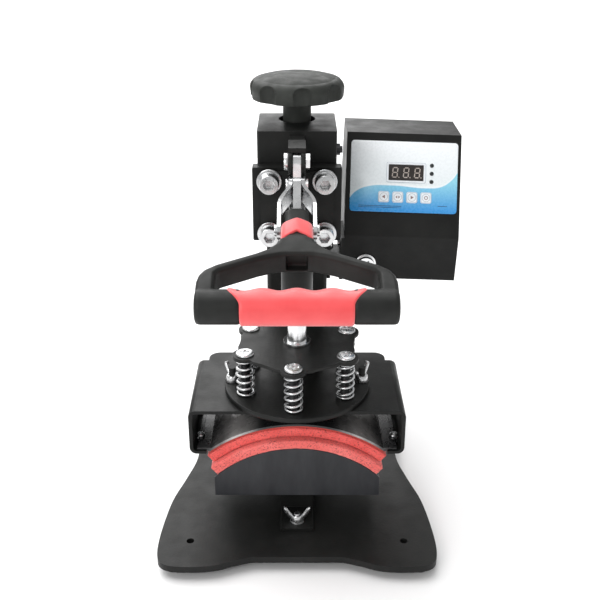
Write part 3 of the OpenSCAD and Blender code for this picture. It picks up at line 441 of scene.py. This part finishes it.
def solid_union(name, parts, matrix, voxel, rounds):
    """Parts fused into one skin by a fine remesh, then softened and thinned out again."""
    rough = build(name + "_rough", parts, [], angle=180)
    for kind, settings in (("REMESH", {"mode": "VOXEL", "voxel_size": voxel * MM}),
            ("SMOOTH", {"factor": 0.5, "iterations": rounds}),
            ("DECIMATE", {"ratio": 0.3})):
        step = rough.modifiers.new(kind, kind)
        for key, value in settings.items():
            setattr(step, key, value)
    graph = bpy.context.evaluated_depsgraph_get()
    mesh = bpy.data.meshes.new_from_object(rough.evaluated_get(graph))
    bpy.data.objects.remove(rough)
    mesh.name = name
    made = bpy.data.objects.new(name, mesh)
    bpy.context.scene.collection.objects.link(made)
    made.matrix_world = matrix
    shade_smooth(mesh, 60)
    return made


def middle(node):
    """Middle of a CAD node's box, in metres."""
    low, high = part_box(node)
    return (low + high) / 2


def joint(name):
    return next(j for j in frame["joints"] if j["name"] == name)


def paint(piece, *looks):
    piece.data.materials.clear()
    for look in looks:
        piece.data.materials.append(materials[look])
    return piece


# ---- CAD nodes that stay ----------------------------------------------------------------------------

# Width in millimetres of the rounded edge that a CAD node gets
EDGES = {
    "base_plate": 0.7, "rubber_feet": 0.8, "foot_screws": 0.2, "column": 0.8, "column_bolts": 0.5,
    "lead_nut": 0.5, "saddle_arch": 0.35, "saddle_end_plates": 0.35, "saddle_post": 0.5,
    "saddle_studs": 0.4, "control_bracket": 0.5, "bracket_bolts": 0.3, "control_case": 0.45,
    "control_back_cover": 0.35, "cover_screws": 0.2, "heater_socket": 0.35, "mains_inlet": 0.4,
    "power_rocker": 0.4, "control_electronics": 0.2, "head_box": 0.8, "gib_pads": 0.3,
    "gib_screws": 0.4, "carriage_plate": 0.7, "clamp_body": 0.6, "clamp_bolts": 0.55,
    "guide_bush": 0.3, "lever_pivot_bolt": 0.5, "lead_screw": 0.4, "lever_bar": 0.5,
    "lever_pins": 0.4, "toggle_links": 0.45, "plunger_pin": 0.4, "plunger": 0.4, "star_plate": 0.7,
    "plunger_nut": 0.4, "spring_disc": 0.8, "element_bracket": 0.6, "heater_shell": 0.4,
    "heater_mat": 0.3, "shell_screws": 0.25,
}
WELD = 0.01             # points closer than this are one before the edge is rounded


def dress_cad_nodes():
    """Each CAD node takes its slot's material, and a small rounded edge where one is named."""
    for part in frame["record"]["subparts"]:
        piece = paint(nodes[part["node"]], part["material_slot"])
        if part["node"] in EDGES:
            weld = piece.modifiers.new("weld", "WELD")
            weld.merge_threshold = WELD * MM
            bevel(piece, EDGES[part["node"]], 40)


dress_cad_nodes()
for name in ("saddle_end_plates", "saddle_arch"):
    paint(nodes[name], "saddle_coat")


# ---- handle ---------------------------------------------------------------------------------------

HANDLE_DIP = math.radians(19)
GRIP_REACH = 123        # from the handle's pivot end to the middle of the crossbar
GRIP_HALF = 71          # half the length of the crossbar
TUBE_R = 12.4           # radius of the crossbar's black ends
grip_mid = middle("hand_grip")
dip = Matrix.Rotation(HANDLE_DIP, 4, "X")
to_handle = Matrix.Translation(grip_mid) @ dip @ Matrix.Translation((0, GRIP_REACH * MM, 0))


def along_x(x, y, z):
    """A frame whose Z points along the handle's X."""
    return Matrix.Translation((x, y, z)) @ Matrix.Rotation(math.radians(90), 4, "Y")


def chamfered(outline, half, cut):
    """A prism on a counter-clockwise outline, with both rims cut back by a 45 degree chamfer."""
    inset = []
    count = len(outline)
    for k, point in enumerate(outline):
        before, after = Vector(outline[k - 1]), Vector(outline[(k + 1) % count])
        here = Vector(point)
        a, b = (here - before).normalized(), (after - here).normalized()
        normal = (Vector((-a.y, a.x)) + Vector((-b.y, b.x))).normalized()
        inset.append(here + normal * cut / max(0.5, normal.dot(Vector((-a.y, a.x)))))
    levels = ((inset, -half), (outline, cut - half), (outline, half - cut), (inset, half))
    return rings([[(p[0], p[1], z) for p in line] for line, z in levels])


def handle_frame():
    """The D-shaped moulding: neck, fork with its pocket, two arms and the black ends of the crossbar."""
    right = [(0, -52.8), (12.3, -58.6), (14.2, -63.5), (21, -70.5), (30, -75.5), (58, -88), (66, -93.5),
        (69.5, -99), (GRIP_HALF, -106), (GRIP_HALF, -GRIP_REACH), (57.6, -GRIP_REACH), (57.6, -98.5),
        (55, -95.3), (28, -83), (21, -80.6), (12, -78.2)]
    left = [(-x, y) for x, y in reversed(right[1:])]
    pocket = [(8, -77.9), (8, -71), (-8, -71), (-8, -77.9)]
    outline = [*left, *right, *pocket]
    neck = [(-9.4, -60), (9.4, -60), (9.4, -24.7), (5.2, -21.7), (-5.2, -21.7), (-9.4, -24.7)]
    end = lathe([(0, 0), (9, 0), (11.6, 0.8), (TUBE_R, 3), (TUBE_R, 30), (11.2, 33), (0, 33)])
    inwards = Matrix.Rotation(math.pi, 4, "X")
    tubes = [placed(end, along_x(GRIP_HALF, -GRIP_REACH, 0) @ inwards),
        placed(end, along_x(-GRIP_HALF, -GRIP_REACH, 0))]
    lips = [rings([[(x, y, side * z) for x, y in ((-11, front), (11, front), (11, -67), (-11, -67))]
        for front, z in ((-77.6, 7.2), (-77.6, 8), (-75.8, 10))]) for side in (-1, 1)]
    made = solid_union("handle_frame_moulding", [chamfered(outline[::-1], 10, 2.2),
        chamfered(neck, 9.4, 2.8), *lips, *tubes], to_handle, voxel=0.75, rounds=5)
    made.data.materials.append(materials["black_moulding"])
    return stands_for(made, "lever", "black_moulding", "handle_frame")


def hand_grip():
    """Red sleeve on the crossbar: finger waves along the rear, ends that sweep inwards at the front."""
    around, steps = 56, 72
    wave_length, wave_depth, sleeve_r, end_lip = 24.4, 1.9, 13.4, 1.2
    sections = []
    for k in range(steps + 1):
        u = -1 + 2 * k / steps
        section = []
        for s in range(around):
            a = 2 * math.pi * s / around
            rear = math.cos(a - math.radians(22))
            half = 39.5 + 9.3 * smooth_step(rear, -0.35, 0.95)
            x = u * half
            wave = 0.5 + 0.5 * math.cos(2 * math.pi * x / wave_length)
            depth = wave_depth * (1 - wave) * smooth_step(rear, 0.1, 0.95)
            lip = 0.9 * (max(0, abs(u) * half - half + end_lip) / end_lip) ** 2
            radius = sleeve_r - depth - lip + 0.2 * math.cos(2 * a)
            section.append((x, -GRIP_REACH + radius * math.cos(a), radius * math.sin(a)))
        sections.append(section)
    inner = [[(p[0], -GRIP_REACH + (p[1] + GRIP_REACH) * 0.86, p[2] * 0.86) for p in section]
        for section in (sections[-1], sections[0])]
    sleeve = rings(sections + inner, loop=True)
    made = build("hand_grip_sleeve", [sleeve], ["red_grip_rubber"], to_handle, 50)
    return stands_for(made, "lever", "red_grip_rubber", "hand_grip")


def neck_sleeve():
    """Red sleeve on the neck: ridged on top, with arrow-shaped ends."""
    across = [(-12, -4), (-12, 5), (-9.8, 8.6), (-6, 10.3), (0, 11.7), (6, 10.3), (9.8, 8.6), (12, 5),
        (12, -4), (10, -8.6), (6, -10.4), (0, -10.9), (-6, -10.4), (-10, -8.6)]
    loop = spline(across + [across[0]], 4)[:-1]
    sections = []
    start, length, start_tip, end_tip = -37.9, 14.6, 2.8, 3
    ends = ((0, 0.93), (0.03, 0.985), (0.08, 1), (0.5, 1), (0.92, 1), (0.97, 0.985), (1, 0.93))
    for k, shrink in ends:
        section = []
        for p in loop:
            arrow = abs(p[0]) / 12
            y = start - start_tip * arrow - k * (length + end_tip * arrow)
            section.append((p[0] * shrink, y, p[1] * shrink))
        sections.append(section)
    inner = [[(0.9 * p[0], p[1], 0.9 * p[2]) for p in section]
        for section in (sections[-1], sections[0])]
    sleeve = rings(sections + inner, loop=True)
    made = build("neck_sleeve_cover", [sleeve], ["red_grip_rubber"], to_handle, 50)
    return stands_for(made, "lever", "red_grip_rubber", "neck_sleeve")


def yoke_plates():
    """Two zinc-plated strips that swell out from the lever bar to hold the neck between them."""
    path = [(4.65, 4.9, 16.2, 12.2), (4.65, 3.6, 19.1, 9.4), (4.65, 1, 20.8, 7.6), (4.65, -1.5, 21.2, 7.1),
        (4.65, -4, 20.4, 5.6), (5.4, -6.4, 18, 2), (7.8, -8.2, 15, -1.2), (10.8, -9.8, 11.6, -4.6),
        (12.9, -11.8, 8.6, -6.2), (13.7, -15, 6.6, -6.5), (13.7, -24, 6.5, -6.5), (13.7, -39.5, 6.5, -6.5),
        (13.7, -43, 5.7, -5.7), (13.7, -45.2, 4, -4), (13.7, -46.4, 1.4, -1.4)]
    curve = spline(path, 5)
    parts = []
    for side in (-1, 1):
        sections = []
        for k, point in enumerate(curve):
            before, after = curve[max(0, k - 1)], curve[min(len(curve) - 1, k + 1)]
            along = Vector((after[0] - before[0], after[1] - before[1])).normalized()
            off = 1.45 * Vector((-along.y, along.x))
            sections.append([(side * (point[0] + sx * off.x), point[1] + sx * off.y, point[z])
                for sx, z in ((-1, 3), (1, 3), (1, 2), (-1, 2))])
        parts.append(rings(sections))
    made = build("yoke_plate_pair", parts, ["zinc_plate"], to_handle, 40)
    bevel(made, 0.45, 50)
    return stands_for(made, "lever", "zinc_plate", "yoke_plates")


handle_frame()
hand_grip()
neck_sleeve()
yoke_plates()


# ---- knob -------------------------------------------------------------------------------------------


def knob():
    """Height knob: a domed disc with eight arch-topped finger scallops, on its stem."""
    low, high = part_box("knob")
    axis = (low + high) / 2
    top = high.z / MM
    skirt = top - 21
    radius = (high.x - low.x) / 2 / MM
    bottom = low.z / MM
    profile = spline([(7.2, bottom), (11.8, bottom), (12.3, bottom + 1.2), (12.3, skirt - 3),
        (13.2, skirt - 0.6), (15.5, skirt + 0.6), (22, skirt + 0.5), (31, skirt), (36.5, skirt + 0.1)], 4)
    rim = [Vector((radius - 8 + 8 * math.cos(math.radians(a)), skirt + 9 + 8 * math.sin(math.radians(a))))
        for a in range(-12, 84, 4)]
    crown = spline([(radius - 8, skirt + 17), (radius - 13, skirt + 18.6), (radius - 22, skirt + 20.1),
        (radius - 32, skirt + 20.8), (0.5, top), (0, top)], 6)
    lip = [Vector((radius - 1.4, skirt + 0.8)), Vector((radius - 0.6, skirt + 2.4))]
    outline = profile + lip + rim + crown
    cut_r, cut_at, arch, first = 9.8, radius + 3.9, skirt + 9, math.radians(-83)
    sides = 288
    sections = []
    for r, z in outline:
        section = []
        for s in range(sides):
            a = 2 * math.pi * s / sides
            off = (a - first + math.pi / 8) % (math.pi / 4) - math.pi / 8
            width = cut_r ** 2 - max(0, z - arch) ** 2 - (cut_at * math.sin(off)) ** 2
            edge = r
            if r > 25 and width > 0:
                wall = cut_at * math.cos(off) - math.sqrt(width)
                share = smooth_step(r - wall, -0.5, 1.1)
                edge = min(r, r + (wall - r) * share)
            section.append((edge * math.cos(a), edge * math.sin(a), z))
        sections.append(section)
    made = build("height_knob", [rings(sections, caps=False)], ["knob_moulding"],
        Matrix.Translation((axis.x, axis.y, 0)), 50)
    return stands_for(made, "knob", "black_moulding", "knob")


knob()


# ---- springs, screws and wing nuts ----------------------------------------------------------------------

SPRING_RING = 48        # radius of the circle that the springs stand on
SPRING_ANGLES = [math.radians(30 + 60 * k - 3.4) for k in range(6)]
SPRING_GAP = 0.35       # between a spring's end and the plate it presses on
star_low, star_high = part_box("star_plate")
disc_low, disc_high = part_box("spring_disc")


def coil(at, turn):
    """A pressure spring of round wire with closed ends, between the disc and the star plate."""
    wire, radius, turns, steps, around = 1.15, 6.72, 6.5, 26, 10
    z0 = disc_high.z / MM + SPRING_GAP + wire
    z1 = star_low.z / MM - SPRING_GAP - wire
    sections = []
    total = int(turns * steps)
    for k in range(total + 1):
        t = k / steps
        lower, upper = smooth_step(t, 0, 1.5), smooth_step(t, turns - 1.5, turns)
        share = (max(0, t - 0.75 - 0.75 * (1 - lower)) + 0.07 * min(t, 1)) / (turns - 1.5)
        rise = min(1, share) * (1 - upper) + upper
        a = 2 * math.pi * t + turn
        thin = wire * (0.55 + 0.45 * smooth_step(min(t, turns - t), 0, 0.35))
        outward = Vector((math.cos(a), math.sin(a), 0))
        middle_z = z0 + (z1 - z0) * rise
        section = []
        for b in (2 * math.pi * s / around for s in range(around)):
            reach = radius + thin * math.cos(b)
            spot = at + reach * outward
            section.append((spot.x, spot.y, middle_z + thin * math.sin(b)))
        sections.append(section)
    return rings(sections)


def springs():
    for number, a in enumerate(SPRING_ANGLES, 1):
        at = Vector((SPRING_RING * math.cos(a), SPRING_RING * math.sin(a), 0))
        wire = coil(at, a + math.radians(200))
        made = build(f"pressure_spring_{number}", [wire], ["zinc_plate"], angle=60)
        stands_for(made, "plunger", "zinc_plate", "pressure_springs")
        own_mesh(made)


def cross_head(radius, height, slot_half, reach, depth, at, sides=72):
    """A pan head standing on z = 0 with a cross recess pressed into its crown."""
    levels = [(radius - 0.35, 0), (radius, 0.3), (radius, 0.45 * height), (radius - 0.25, 0.62 * height)]
    sections = [[(r, 2 * math.pi * s / sides, z) for s in range(sides)] for r, z in levels]
    rows = 26
    for k in range(1, rows + 1):
        r = (radius - 0.25) * (1 - k / rows)
        section = []
        for s in range(sides):
            a = 2 * math.pi * s / sides
            x, y = abs(r * math.cos(a)), abs(r * math.sin(a))
            crown = 0.62 * height + 0.38 * height * (1 - (r / radius) ** 2) ** 0.5
            arm = ((1 - smooth_step(min(x, y), slot_half - 0.3, slot_half + 0.25))
                * (1 - smooth_step(max(x, y), reach - 0.5, reach + 0.1)))
            section.append((r, a, crown - depth * arm))
        sections.append(section)
    made = [[(at[0] + r * math.cos(a), at[1] + r * math.sin(a), at[2] + z) for r, a, z in section]
        for section in sections]
    points, faces, shade = rings(made, caps=False)
    return points, faces + [tuple(range(sides))], shade


def thread(radius, z0, z1, pitch, at=(0, 0), shade=0):
    """A threaded shank: ridges of the given pitch, which read as a screw thread."""
    profile = [(0, z0), (radius - 0.8, z0)]
    z = z0 + 0.6
    while z < z1 - pitch:
        profile += [(radius - 0.55, z), (radius, z + pitch / 2)]
        z += pitch
    profile += [(radius - 0.5, z1), (0, z1)]
    return placed(lathe(profile, 28, shade), Matrix.Translation((at[0], at[1], 0)))


def spring_screws():
    parts = []
    low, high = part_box("spring_screws")
    for a in SPRING_ANGLES:
        at = (SPRING_RING * math.cos(a), SPRING_RING * math.sin(a))
        seat = (*at, star_high.z / MM + 0.02)
        parts.append(cross_head(radius=7.5, height=2.5, slot_half=0.9, reach=4.2, depth=1.4, at=seat))
        parts.append(thread(3.95, low.z / MM, star_high.z / MM + 0.3, 1.25, at, 1))
    made = build("spring_screw_set", parts, ["zinc_plate", "black_steel"], angle=32)
    return stands_for(made, "platen", "zinc_plate", "spring_screws")


def wing_nut(node, body, bore, turn):
    """A pressed wing nut: conical hub and two wings that lean out, thick at their round tips."""
    low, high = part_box(node)
    at = Vector(((low.x + high.x) / 2, (low.y + high.y) / 2, low.z))
    hub = lathe([(bore + 0.05, 0), (bore + 2.9, 0), (bore + 3, 0.5), (bore + 2.2, 5.2), (bore + 1.7, 5.9),
        (bore + 0.3, 6), (bore + 0.05, 5.7)], 40)
    parts = [hub]
    # distance out, height, half thickness and breadth along a wing
    curve = spline([(2.6, 0.6, 1.3, 4.6), (4.2, 2.2, 1.4, 4.8), (6, 4.6, 1.55, 4.2), (7.8, 7.2, 1.7, 3.8),
        (9.2, 9.6, 1.9, 3.9), (10.3, 12, 2, 3.2), (10.9, 13.6, 1.5, 1.5)], 4)
    for side in (0, math.pi):
        sections = []
        for k, point in enumerate(curve):
            ahead, back = curve[min(len(curve) - 1, k + 1)], curve[max(0, k - 1)]
            along = Vector((ahead[0] - back[0], ahead[1] - back[1])).normalized()
            across = Vector((along.y, -along.x))
            thick, half = point[2], point[3] / 2
            ring = []
            for s in range(16):
                a = 2 * math.pi * s / 16
                ring.append((point[0] + across.x * half * math.cos(a), thick * math.sin(a),
                    point[1] + across.y * half * math.cos(a)))
            sections.append(ring)
        parts.append(placed(rings(sections), Matrix.Rotation(side, 4, "Z")))
    stands = Matrix.Translation(at) @ Matrix.Rotation(turn, 4, "Z")
    made = build(node + "_cast", parts, ["zinc_plate"], stands, 45)
    return stands_for(made, body, "zinc_plate", node)


springs()
spring_screws()
for side in ("front", "rear"):
    wing_nut(f"saddle_wing_nut_{side}", f"saddle_nut_{side}", bore=2.5, turn=0)
for side, turn in (("left", -60), ("right", 60)):
    wing_nut(f"element_wing_nut_{side}", f"element_nut_{side}", bore=3, turn=math.radians(turn))


# ---- sponge pads ----------------------------------------------------------------------------------------


def sponge_pad(name, node, look, radius, thick, half_angle, seed):
    """An arched slab of cut sponge: softened rims, uneven cut faces, torn pores along the cuts."""
    low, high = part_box(node)
    half = (high.y - low.y) / 2 / MM
    centre_z = high.z / MM - radius - thick
    n_arc, n_deep, n_thick = 110, 34, 9
    length, soft = 2 * math.radians(half_angle) * radius, 0.9
    around = [(i / n_deep, 0) for i in range(n_deep + 1)]
    around += [(1, i / n_thick) for i in range(1, n_thick + 1)]
    around += [(1 - i / n_deep, 1) for i in range(1, n_deep + 1)]
    around += [(0, 1 - i / n_thick) for i in range(1, n_thick)]

    def at(u, v, w):
        """Point at u along the arc, v from front to back and w through the thickness, each 0 to 1."""
        angle = math.radians(half_angle) * (2 * u - 1)
        spot = Vector((u * 36, v * 22, w * 7)) + Vector((seed, 3 * seed, 7 * seed))
        rough = noise.noise(spot) + 0.6 * noise.noise(spot * 3.1)
        edge_u = min(u, 1 - u) * length
        edge_v = min(v, 1 - v) * 2 * half
        edge_w = min(w, 1 - w) * thick
        second = sorted((edge_u, edge_v, edge_w))[1]
        pull = 0.45 * max(0, 1 - second / soft)
        r = radius + w * thick
        y = -half + v * 2 * half
        if edge_v < 1e-6:
            y += math.copysign(0.25 + 0.22 * rough + pull, 0.5 - v)
        if edge_u < 1e-6:
            angle -= math.copysign((0.35 + 0.3 * rough + pull) / radius, u - 0.5)
        if edge_w < 1e-6:
            r += math.copysign(0.06 + 0.05 * rough + pull, 0.5 - w)
        return (r * math.sin(angle), y, centre_z + r * math.cos(angle))

    sections = [[at(k / n_arc, v, w) for v, w in around] for k in range(n_arc + 1)]
    points, faces, shade = rings(sections, caps=False)
    for k in (0, n_arc):
        base = len(points)
        points += [at(k / n_arc, i / n_deep, j / n_thick)
            for i in range(n_deep + 1) for j in range(n_thick + 1)]
        for i in range(n_deep):
            for j in range(n_thick):
                a = base + i * (n_thick + 1) + j
                faces.append((a, a + 1, a + n_thick + 2, a + n_thick + 1))
    made = build(name, [(points, faces, shade)], [look], angle=60)
    stands_for(made, "base" if node == "lower_pad" else "platen", "red_sponge", node)
    return made


# The lower pad takes the lighter copy of the sponge, which carries painted light.
sponge_pad("lower_sponge", "lower_pad", "red_sponge_painted_lighter",
    radius=100.1, thick=8.9, half_angle=42.4, seed=3.7)
sponge_pad("upper_sponge", "upper_pad", "red_sponge",
    radius=109.4, thick=8.6, half_angle=40.4, seed=11.3)


# ---- control panel ----------------------------------------------------------------------------------------

inward = Vector(joint("key_1_press")["axis"]).normalized()
panel_x = (-Vector(joint("rocker_tip")["axis"])).normalized()
panel_up = (-inward).cross(panel_x).normalized()
panel_turn = Matrix((panel_x, panel_up, -inward)).transposed().to_4x4()
PANEL = (96.5, 64)
PANEL_MID = (0.5, 54.2)     # its middle on the sloping face, measured from the crease below the face
INK = 0.08                  # thickness of a printed line
DISPLAY_AT = (2.3, 58.1)
LAMP_X, LAMP_ROWS = 25.4, (65.2, 57.9, 50.5)
KEY_COLUMNS, KEY_Y = (-17.4, -4.7, 8, 20.7), 35.8


def on_panel(x, y, lift=0.3):
    """Frame at (x, y) of the sloping face, lift above the middle of the printed film."""
    at = middle("label_panel") + panel_x * (x - PANEL_MID[0]) * MM + panel_up * (y - PANEL_MID[1]) * MM
    return Matrix.Translation(at - inward * lift * MM) @ panel_turn


def printed_film():
    """Pale film with a white swoosh over cyan that deepens to blue, in the film's own space."""
    s = Shader("film_print", IOR=1.5, Coat_Weight=0.08, Coat_Roughness=0.2)
    split = s.node("ShaderNodeSeparateXYZ")
    s.link(s.object_space(), split.inputs["Vector"])
    across = s.math("MULTIPLY_ADD", split.outputs["X"], 1 / (PANEL[0] * MM))
    across.node.inputs[2].default_value = 0.5
    height = s.math("MULTIPLY_ADD", split.outputs["Y"], 1 / (PANEL[1] * MM))
    height.node.inputs[2].default_value = 0.5
    swoosh = s.node("ShaderNodeFloatCurve")
    points = swoosh.mapping.curves[0].points
    line = ((0, 0.2), (0.06, 0.3), (0.167, 0.37), (0.39, 0.39), (0.715, 0.365), (0.84, 0.385), (0.93, 0.465),
        (1, 0.6))
    for x, y in line[1:-1]:
        points.new(x, y)
    for point, (x, y) in zip(points, line):
        point.location = (x, y)
    swoosh.mapping.update()
    s.link(across, swoosh.inputs["Value"])
    above = s.math("SUBTRACT", height, swoosh.outputs["Value"])
    sky = s.ramp(height, (0.8, 0.86, 0.88), (0.84, 0.87, 0.89), 0.4, 0.95)
    sea = s.ramp(height, (0.03, 0.3, 0.72), (0.3, 0.68, 0.82), 0.02, 0.46)
    shift = s.math("ADD", above, 0.5)
    ground = s.mix(s.ramp(shift, 0.0, 1.0, 0.499, 0.505), sea, sky)
    band = s.math("ABSOLUTE", above)
    s.to_bsdf(s.mix(s.ramp(band, 1.0, 0.0, 0.008, 0.02), ground, (0.88, 0.91, 0.93)), "Base Color")
    s.to_bsdf(s.ramp(s.noise(420, 3), 0.22, 0.34), "Roughness")
    s.to_bsdf(s.bump(s.noise(3200, 2), 0.00002, 0.4), "Normal")
    return s.material


materials["film_print"] = printed_film()
materials["ink"] = smooth_plastic("ink", (0.02, 0.05, 0.12), (0.03, 0.07, 0.16), 0.3, 0.4)
materials["segment"] = smooth_plastic("segment", (0.42, 0.36, 0.32), (0.5, 0.44, 0.4), 0.25, 0.4)
materials["key_ink"] = smooth_plastic("key_ink", (0.2, 0.13, 0.12), (0.28, 0.18, 0.16), 0.3, 0.4)
materials["outline_ink"] = smooth_plastic("outline_ink", (0.25, 0.32, 0.38), (0.3, 0.37, 0.43), 0.3, 0.4)


def dash(x0, x1, y, width):
    """A printed line with round ends."""
    return placed(prism(rounded((x1 - x0) / 2, width / 2, width * 0.45, 3), 0, INK),
        Matrix.Translation(((x0 + x1) / 2, y, 0)))


def film():
    """The printed film, and the thin ruled lines near its lower edge."""
    edge = rounded(PANEL[0] / 2, PANEL[1] / 2, 3, 8)
    inset = rounded(PANEL[0] / 2 - 0.12, PANEL[1] / 2 - 0.12, 2.88, 8)
    levels = ((edge, -0.28), (edge, 0.2), (inset, 0.3))
    body = rings([[(x, y, z) for x, y in outline] for outline, z in levels])
    made = build("printed_panel", [body], ["film_print"], on_panel(*PANEL_MID, lift=0), 40)
    stands_for(made, "base", "printed_film", "label_panel")
    lines = [dash(-40.5, -1.5, -26.6, 0.45), dash(-40.5, -9, -27.9, 0.35), dash(-18, -1.5, -28, 0.3),
        dash(31, 39.5, -25.4, 0.45)]
    made = build("panel_rules", lines, ["ink"], on_panel(*PANEL_MID, lift=0.3))
    return stands_for(made, "base", "printed_film")


def disc(x, y, r, sides):
    turn = [2 * math.pi * k / sides for k in range(sides)]
    return [(x + r * math.cos(a), y + r * math.sin(a)) for a in turn]


def segment_shapes(x, y, high, wide):
    """The seven bars and the point of one digit, centred on (x, y), leaning a little."""
    bar = 0.85
    lean = 0.09
    end, top, b = wide / 2 - 0.35, high / 4 - 0.3, bar / 2
    flat = [(-end, 0), (-end + b, b), (end - b, b), (end, 0), (end - b, -b), (-end + b, -b)]
    tall = [(0, -top), (b, -top + b), (b, top - b), (0, top), (-b, top - b), (-b, -top + b)]
    spots = [(flat, 0, share * high / 2) for share in (1, 0, -1)]
    spots += [(tall, side * wide / 2, share * high / 4) for share in (1, -1) for side in (1, -1)]
    parts = []
    for outline, dx, dy in spots:
        parts.append(prism([(x + px + dx + lean * (py + dy), y + py + dy) for px, py in outline], 0, 0.12))
    return parts + [prism(disc(x + wide / 2 + 1.4, y - high / 2, 0.5, 14), 0, 0.12)]


def display():
    """Raised window with a bevelled pale frame, a smoked pane and three seven-bar digits."""
    outer = rounded(17.6, 8.9, 1.4, 5)
    rim = [(x * 0.985, y * 0.97) for x, y in outer]
    inner = rounded(15.7, 7.1, 0.5, 5)
    lip = rounded(16.1, 7.5, 0.7, 5)
    levels = ((outer, -0.2), (outer, 0.32), (rim, 0.5), (lip, 0.45), (inner, -0.1), (inner, -0.2))
    surround = rings([[(x, y, z) for x, y in outline] for outline, z in levels], loop=True)
    border = frame_ring(rounded(17.75, 9.05, 1.5, 5), rounded(17.3, 8.6, 1.2, 5), -0.2, 0.36, 1)
    pane = prism(rounded(15.75, 7.15, 0.5, 5), -0.2, 0.1, 2)
    made = build("display_pane", [surround, border, pane], ["white_key", "outline_ink", "dark_lens"],
        on_panel(*DISPLAY_AT), 30)
    stands_for(made, "base", "dark_lens", "display_window")
    parts = [part for x in (-10, 0, 10) for part in segment_shapes(x, 0, 8.6, 4.3)]
    made = build("display_digits", parts, ["segment"], on_panel(*DISPLAY_AT, lift=0.4))
    return stands_for(made, "base", "dark_lens")


def lamps():
    """Three small unlit lamps with domed lenses."""
    for number, y in enumerate(LAMP_ROWS, 1):
        dome = lathe([(0, -2), (1.45, -2), (1.5, 0.25), (1.4, 0.6), (1.1, 0.85), (0.6, 1.0), (0, 1.05)], 32)
        collar = lathe([(1.5, -0.1), (1.9, -0.1), (1.85, 0.12), (1.55, 0.16)], 32, 1)
        made = build(f"indicator_lamp_{number}", [dome, collar], ["lamp_lens", "black_moulding"],
            on_panel(LAMP_X, y), 40)
        stands_for(made, "base", "lamp_lens", "indicator_lamps")


def key(number, x):
    """A soft white key with a printed rim, a ring and a plain sign for its use."""
    cap = []
    for inset, z in ((0, -1.0), (0, 0.55), (0.15, 0.85), (0.45, 1.0), (1.6, 1.08), (3.4, 1.12)):
        cap.append([(px, py, z) for px, py in rounded(5 - inset, 5 - inset, max(0.4, 1.9 - 0.6 * inset), 7)])
    rim = frame_ring(rounded(4.62, 4.62, 1.6, 7), rounded(4.34, 4.34, 1.4, 7), 0.8, 1.06, 1)
    ring = frame_ring(disc(0, 0, 3.6, 40), disc(0, 0, 3.3, 40), 0.9, 1.16, 1)
    wedges = {
        1: [[(-1.6, 0), (1.1, 1.7), (1.1, -1.7)]],
        2: [[(-2.1, 0), (-0.5, 1.3), (-0.5, -1.3)], [(2.1, 0), (0.5, -1.3), (0.5, 1.3)]],
        3: [[(1.6, 0), (-1.1, 1.7), (-1.1, -1.7)]],
    }
    signs = [prism(wedge, 0.9, 1.19, 2) for wedge in wedges.get(number, [])]
    if number not in wedges:
        signs = [frame_ring(disc(0, 0, 1.7, 28), disc(0, 0, 1.1, 28), 0.9, 1.19, 2)]
    made = build(f"key_cap_{number}", [rings(cap), rim, ring, *signs],
        ["white_key", "outline_ink", "key_ink"], on_panel(x, KEY_Y), 40)
    return stands_for(made, f"key_{number}", "white_key", f"key_{number}")


film()
display()
lamps()
for number, x in enumerate(KEY_COLUMNS, 1):
    key(number, x)


# ---- camera, light and floor ----------------------------------------------------------------------


def camera():
    made = bpy.data.objects.new("camera", bpy.data.cameras.new("camera"))
    bpy.context.scene.collection.objects.link(made)
    made.location = (0, -0.7008, 0.5259)
    made.rotation_euler = (math.radians(65.4), 0, 0)
    made.data.lens = 55.86
    made.data.sensor_width = 36
    made.data.shift_x = 0.005
    bpy.context.scene.camera = made


def area_light(name, place, aim, size, power):
    light = bpy.data.lights.new(name, "AREA")
    light.size = size
    light.energy = power
    made = bpy.data.objects.new(name, light)
    bpy.context.scene.collection.objects.link(made)
    made.location = place
    made.rotation_euler = (Vector(aim) - Vector(place)).to_track_quat("-Z", "Y").to_euler()


def studio():
    """A pale floor under soft light from the sky, a wide sun, and lamps behind and at the left front."""
    floor_mesh = bpy.data.meshes.new("floor")
    reach = 6
    floor_mesh.from_pydata([(x, y, 0) for x, y in ((-reach, -reach), (reach, -reach), (reach, reach),
        (-reach, reach))], [], [(0, 1, 2, 3)])
    floor = bpy.data.objects.new("floor", floor_mesh)
    bpy.context.scene.collection.objects.link(floor)
    pale = Shader("floor", Base_Color=(0.86, 0.86, 0.86), Roughness=0.6)
    floor_mesh.materials.append(pale.material)
    world = bpy.data.worlds.new("studio")
    world.use_nodes = True
    world.node_tree.nodes["Background"].inputs["Color"].default_value = (1, 1, 1, 1)
    world.node_tree.nodes["Background"].inputs["Strength"].default_value = 0.6
    bpy.context.scene.world = world
    sky = bpy.data.lights.new("overhead", "SUN")
    sky.energy = 2.6
    sky.angle = math.radians(60)
    made = bpy.data.objects.new("overhead", sky)
    bpy.context.scene.collection.objects.link(made)
    made.rotation_euler = Vector((0.35, -0.25, -1)).to_track_quat("-Z", "Y").to_euler()
    target = (0, 0, 0.2)
    area_light("back", (-0.4, 2.0, 1.5), target, 1.8, 28)
    area_light("front", (-0.9, -1.5, 1.0), target, 0.8, 11)
    bpy.context.scene.view_settings.view_transform = "Standard"


camera()
studio()
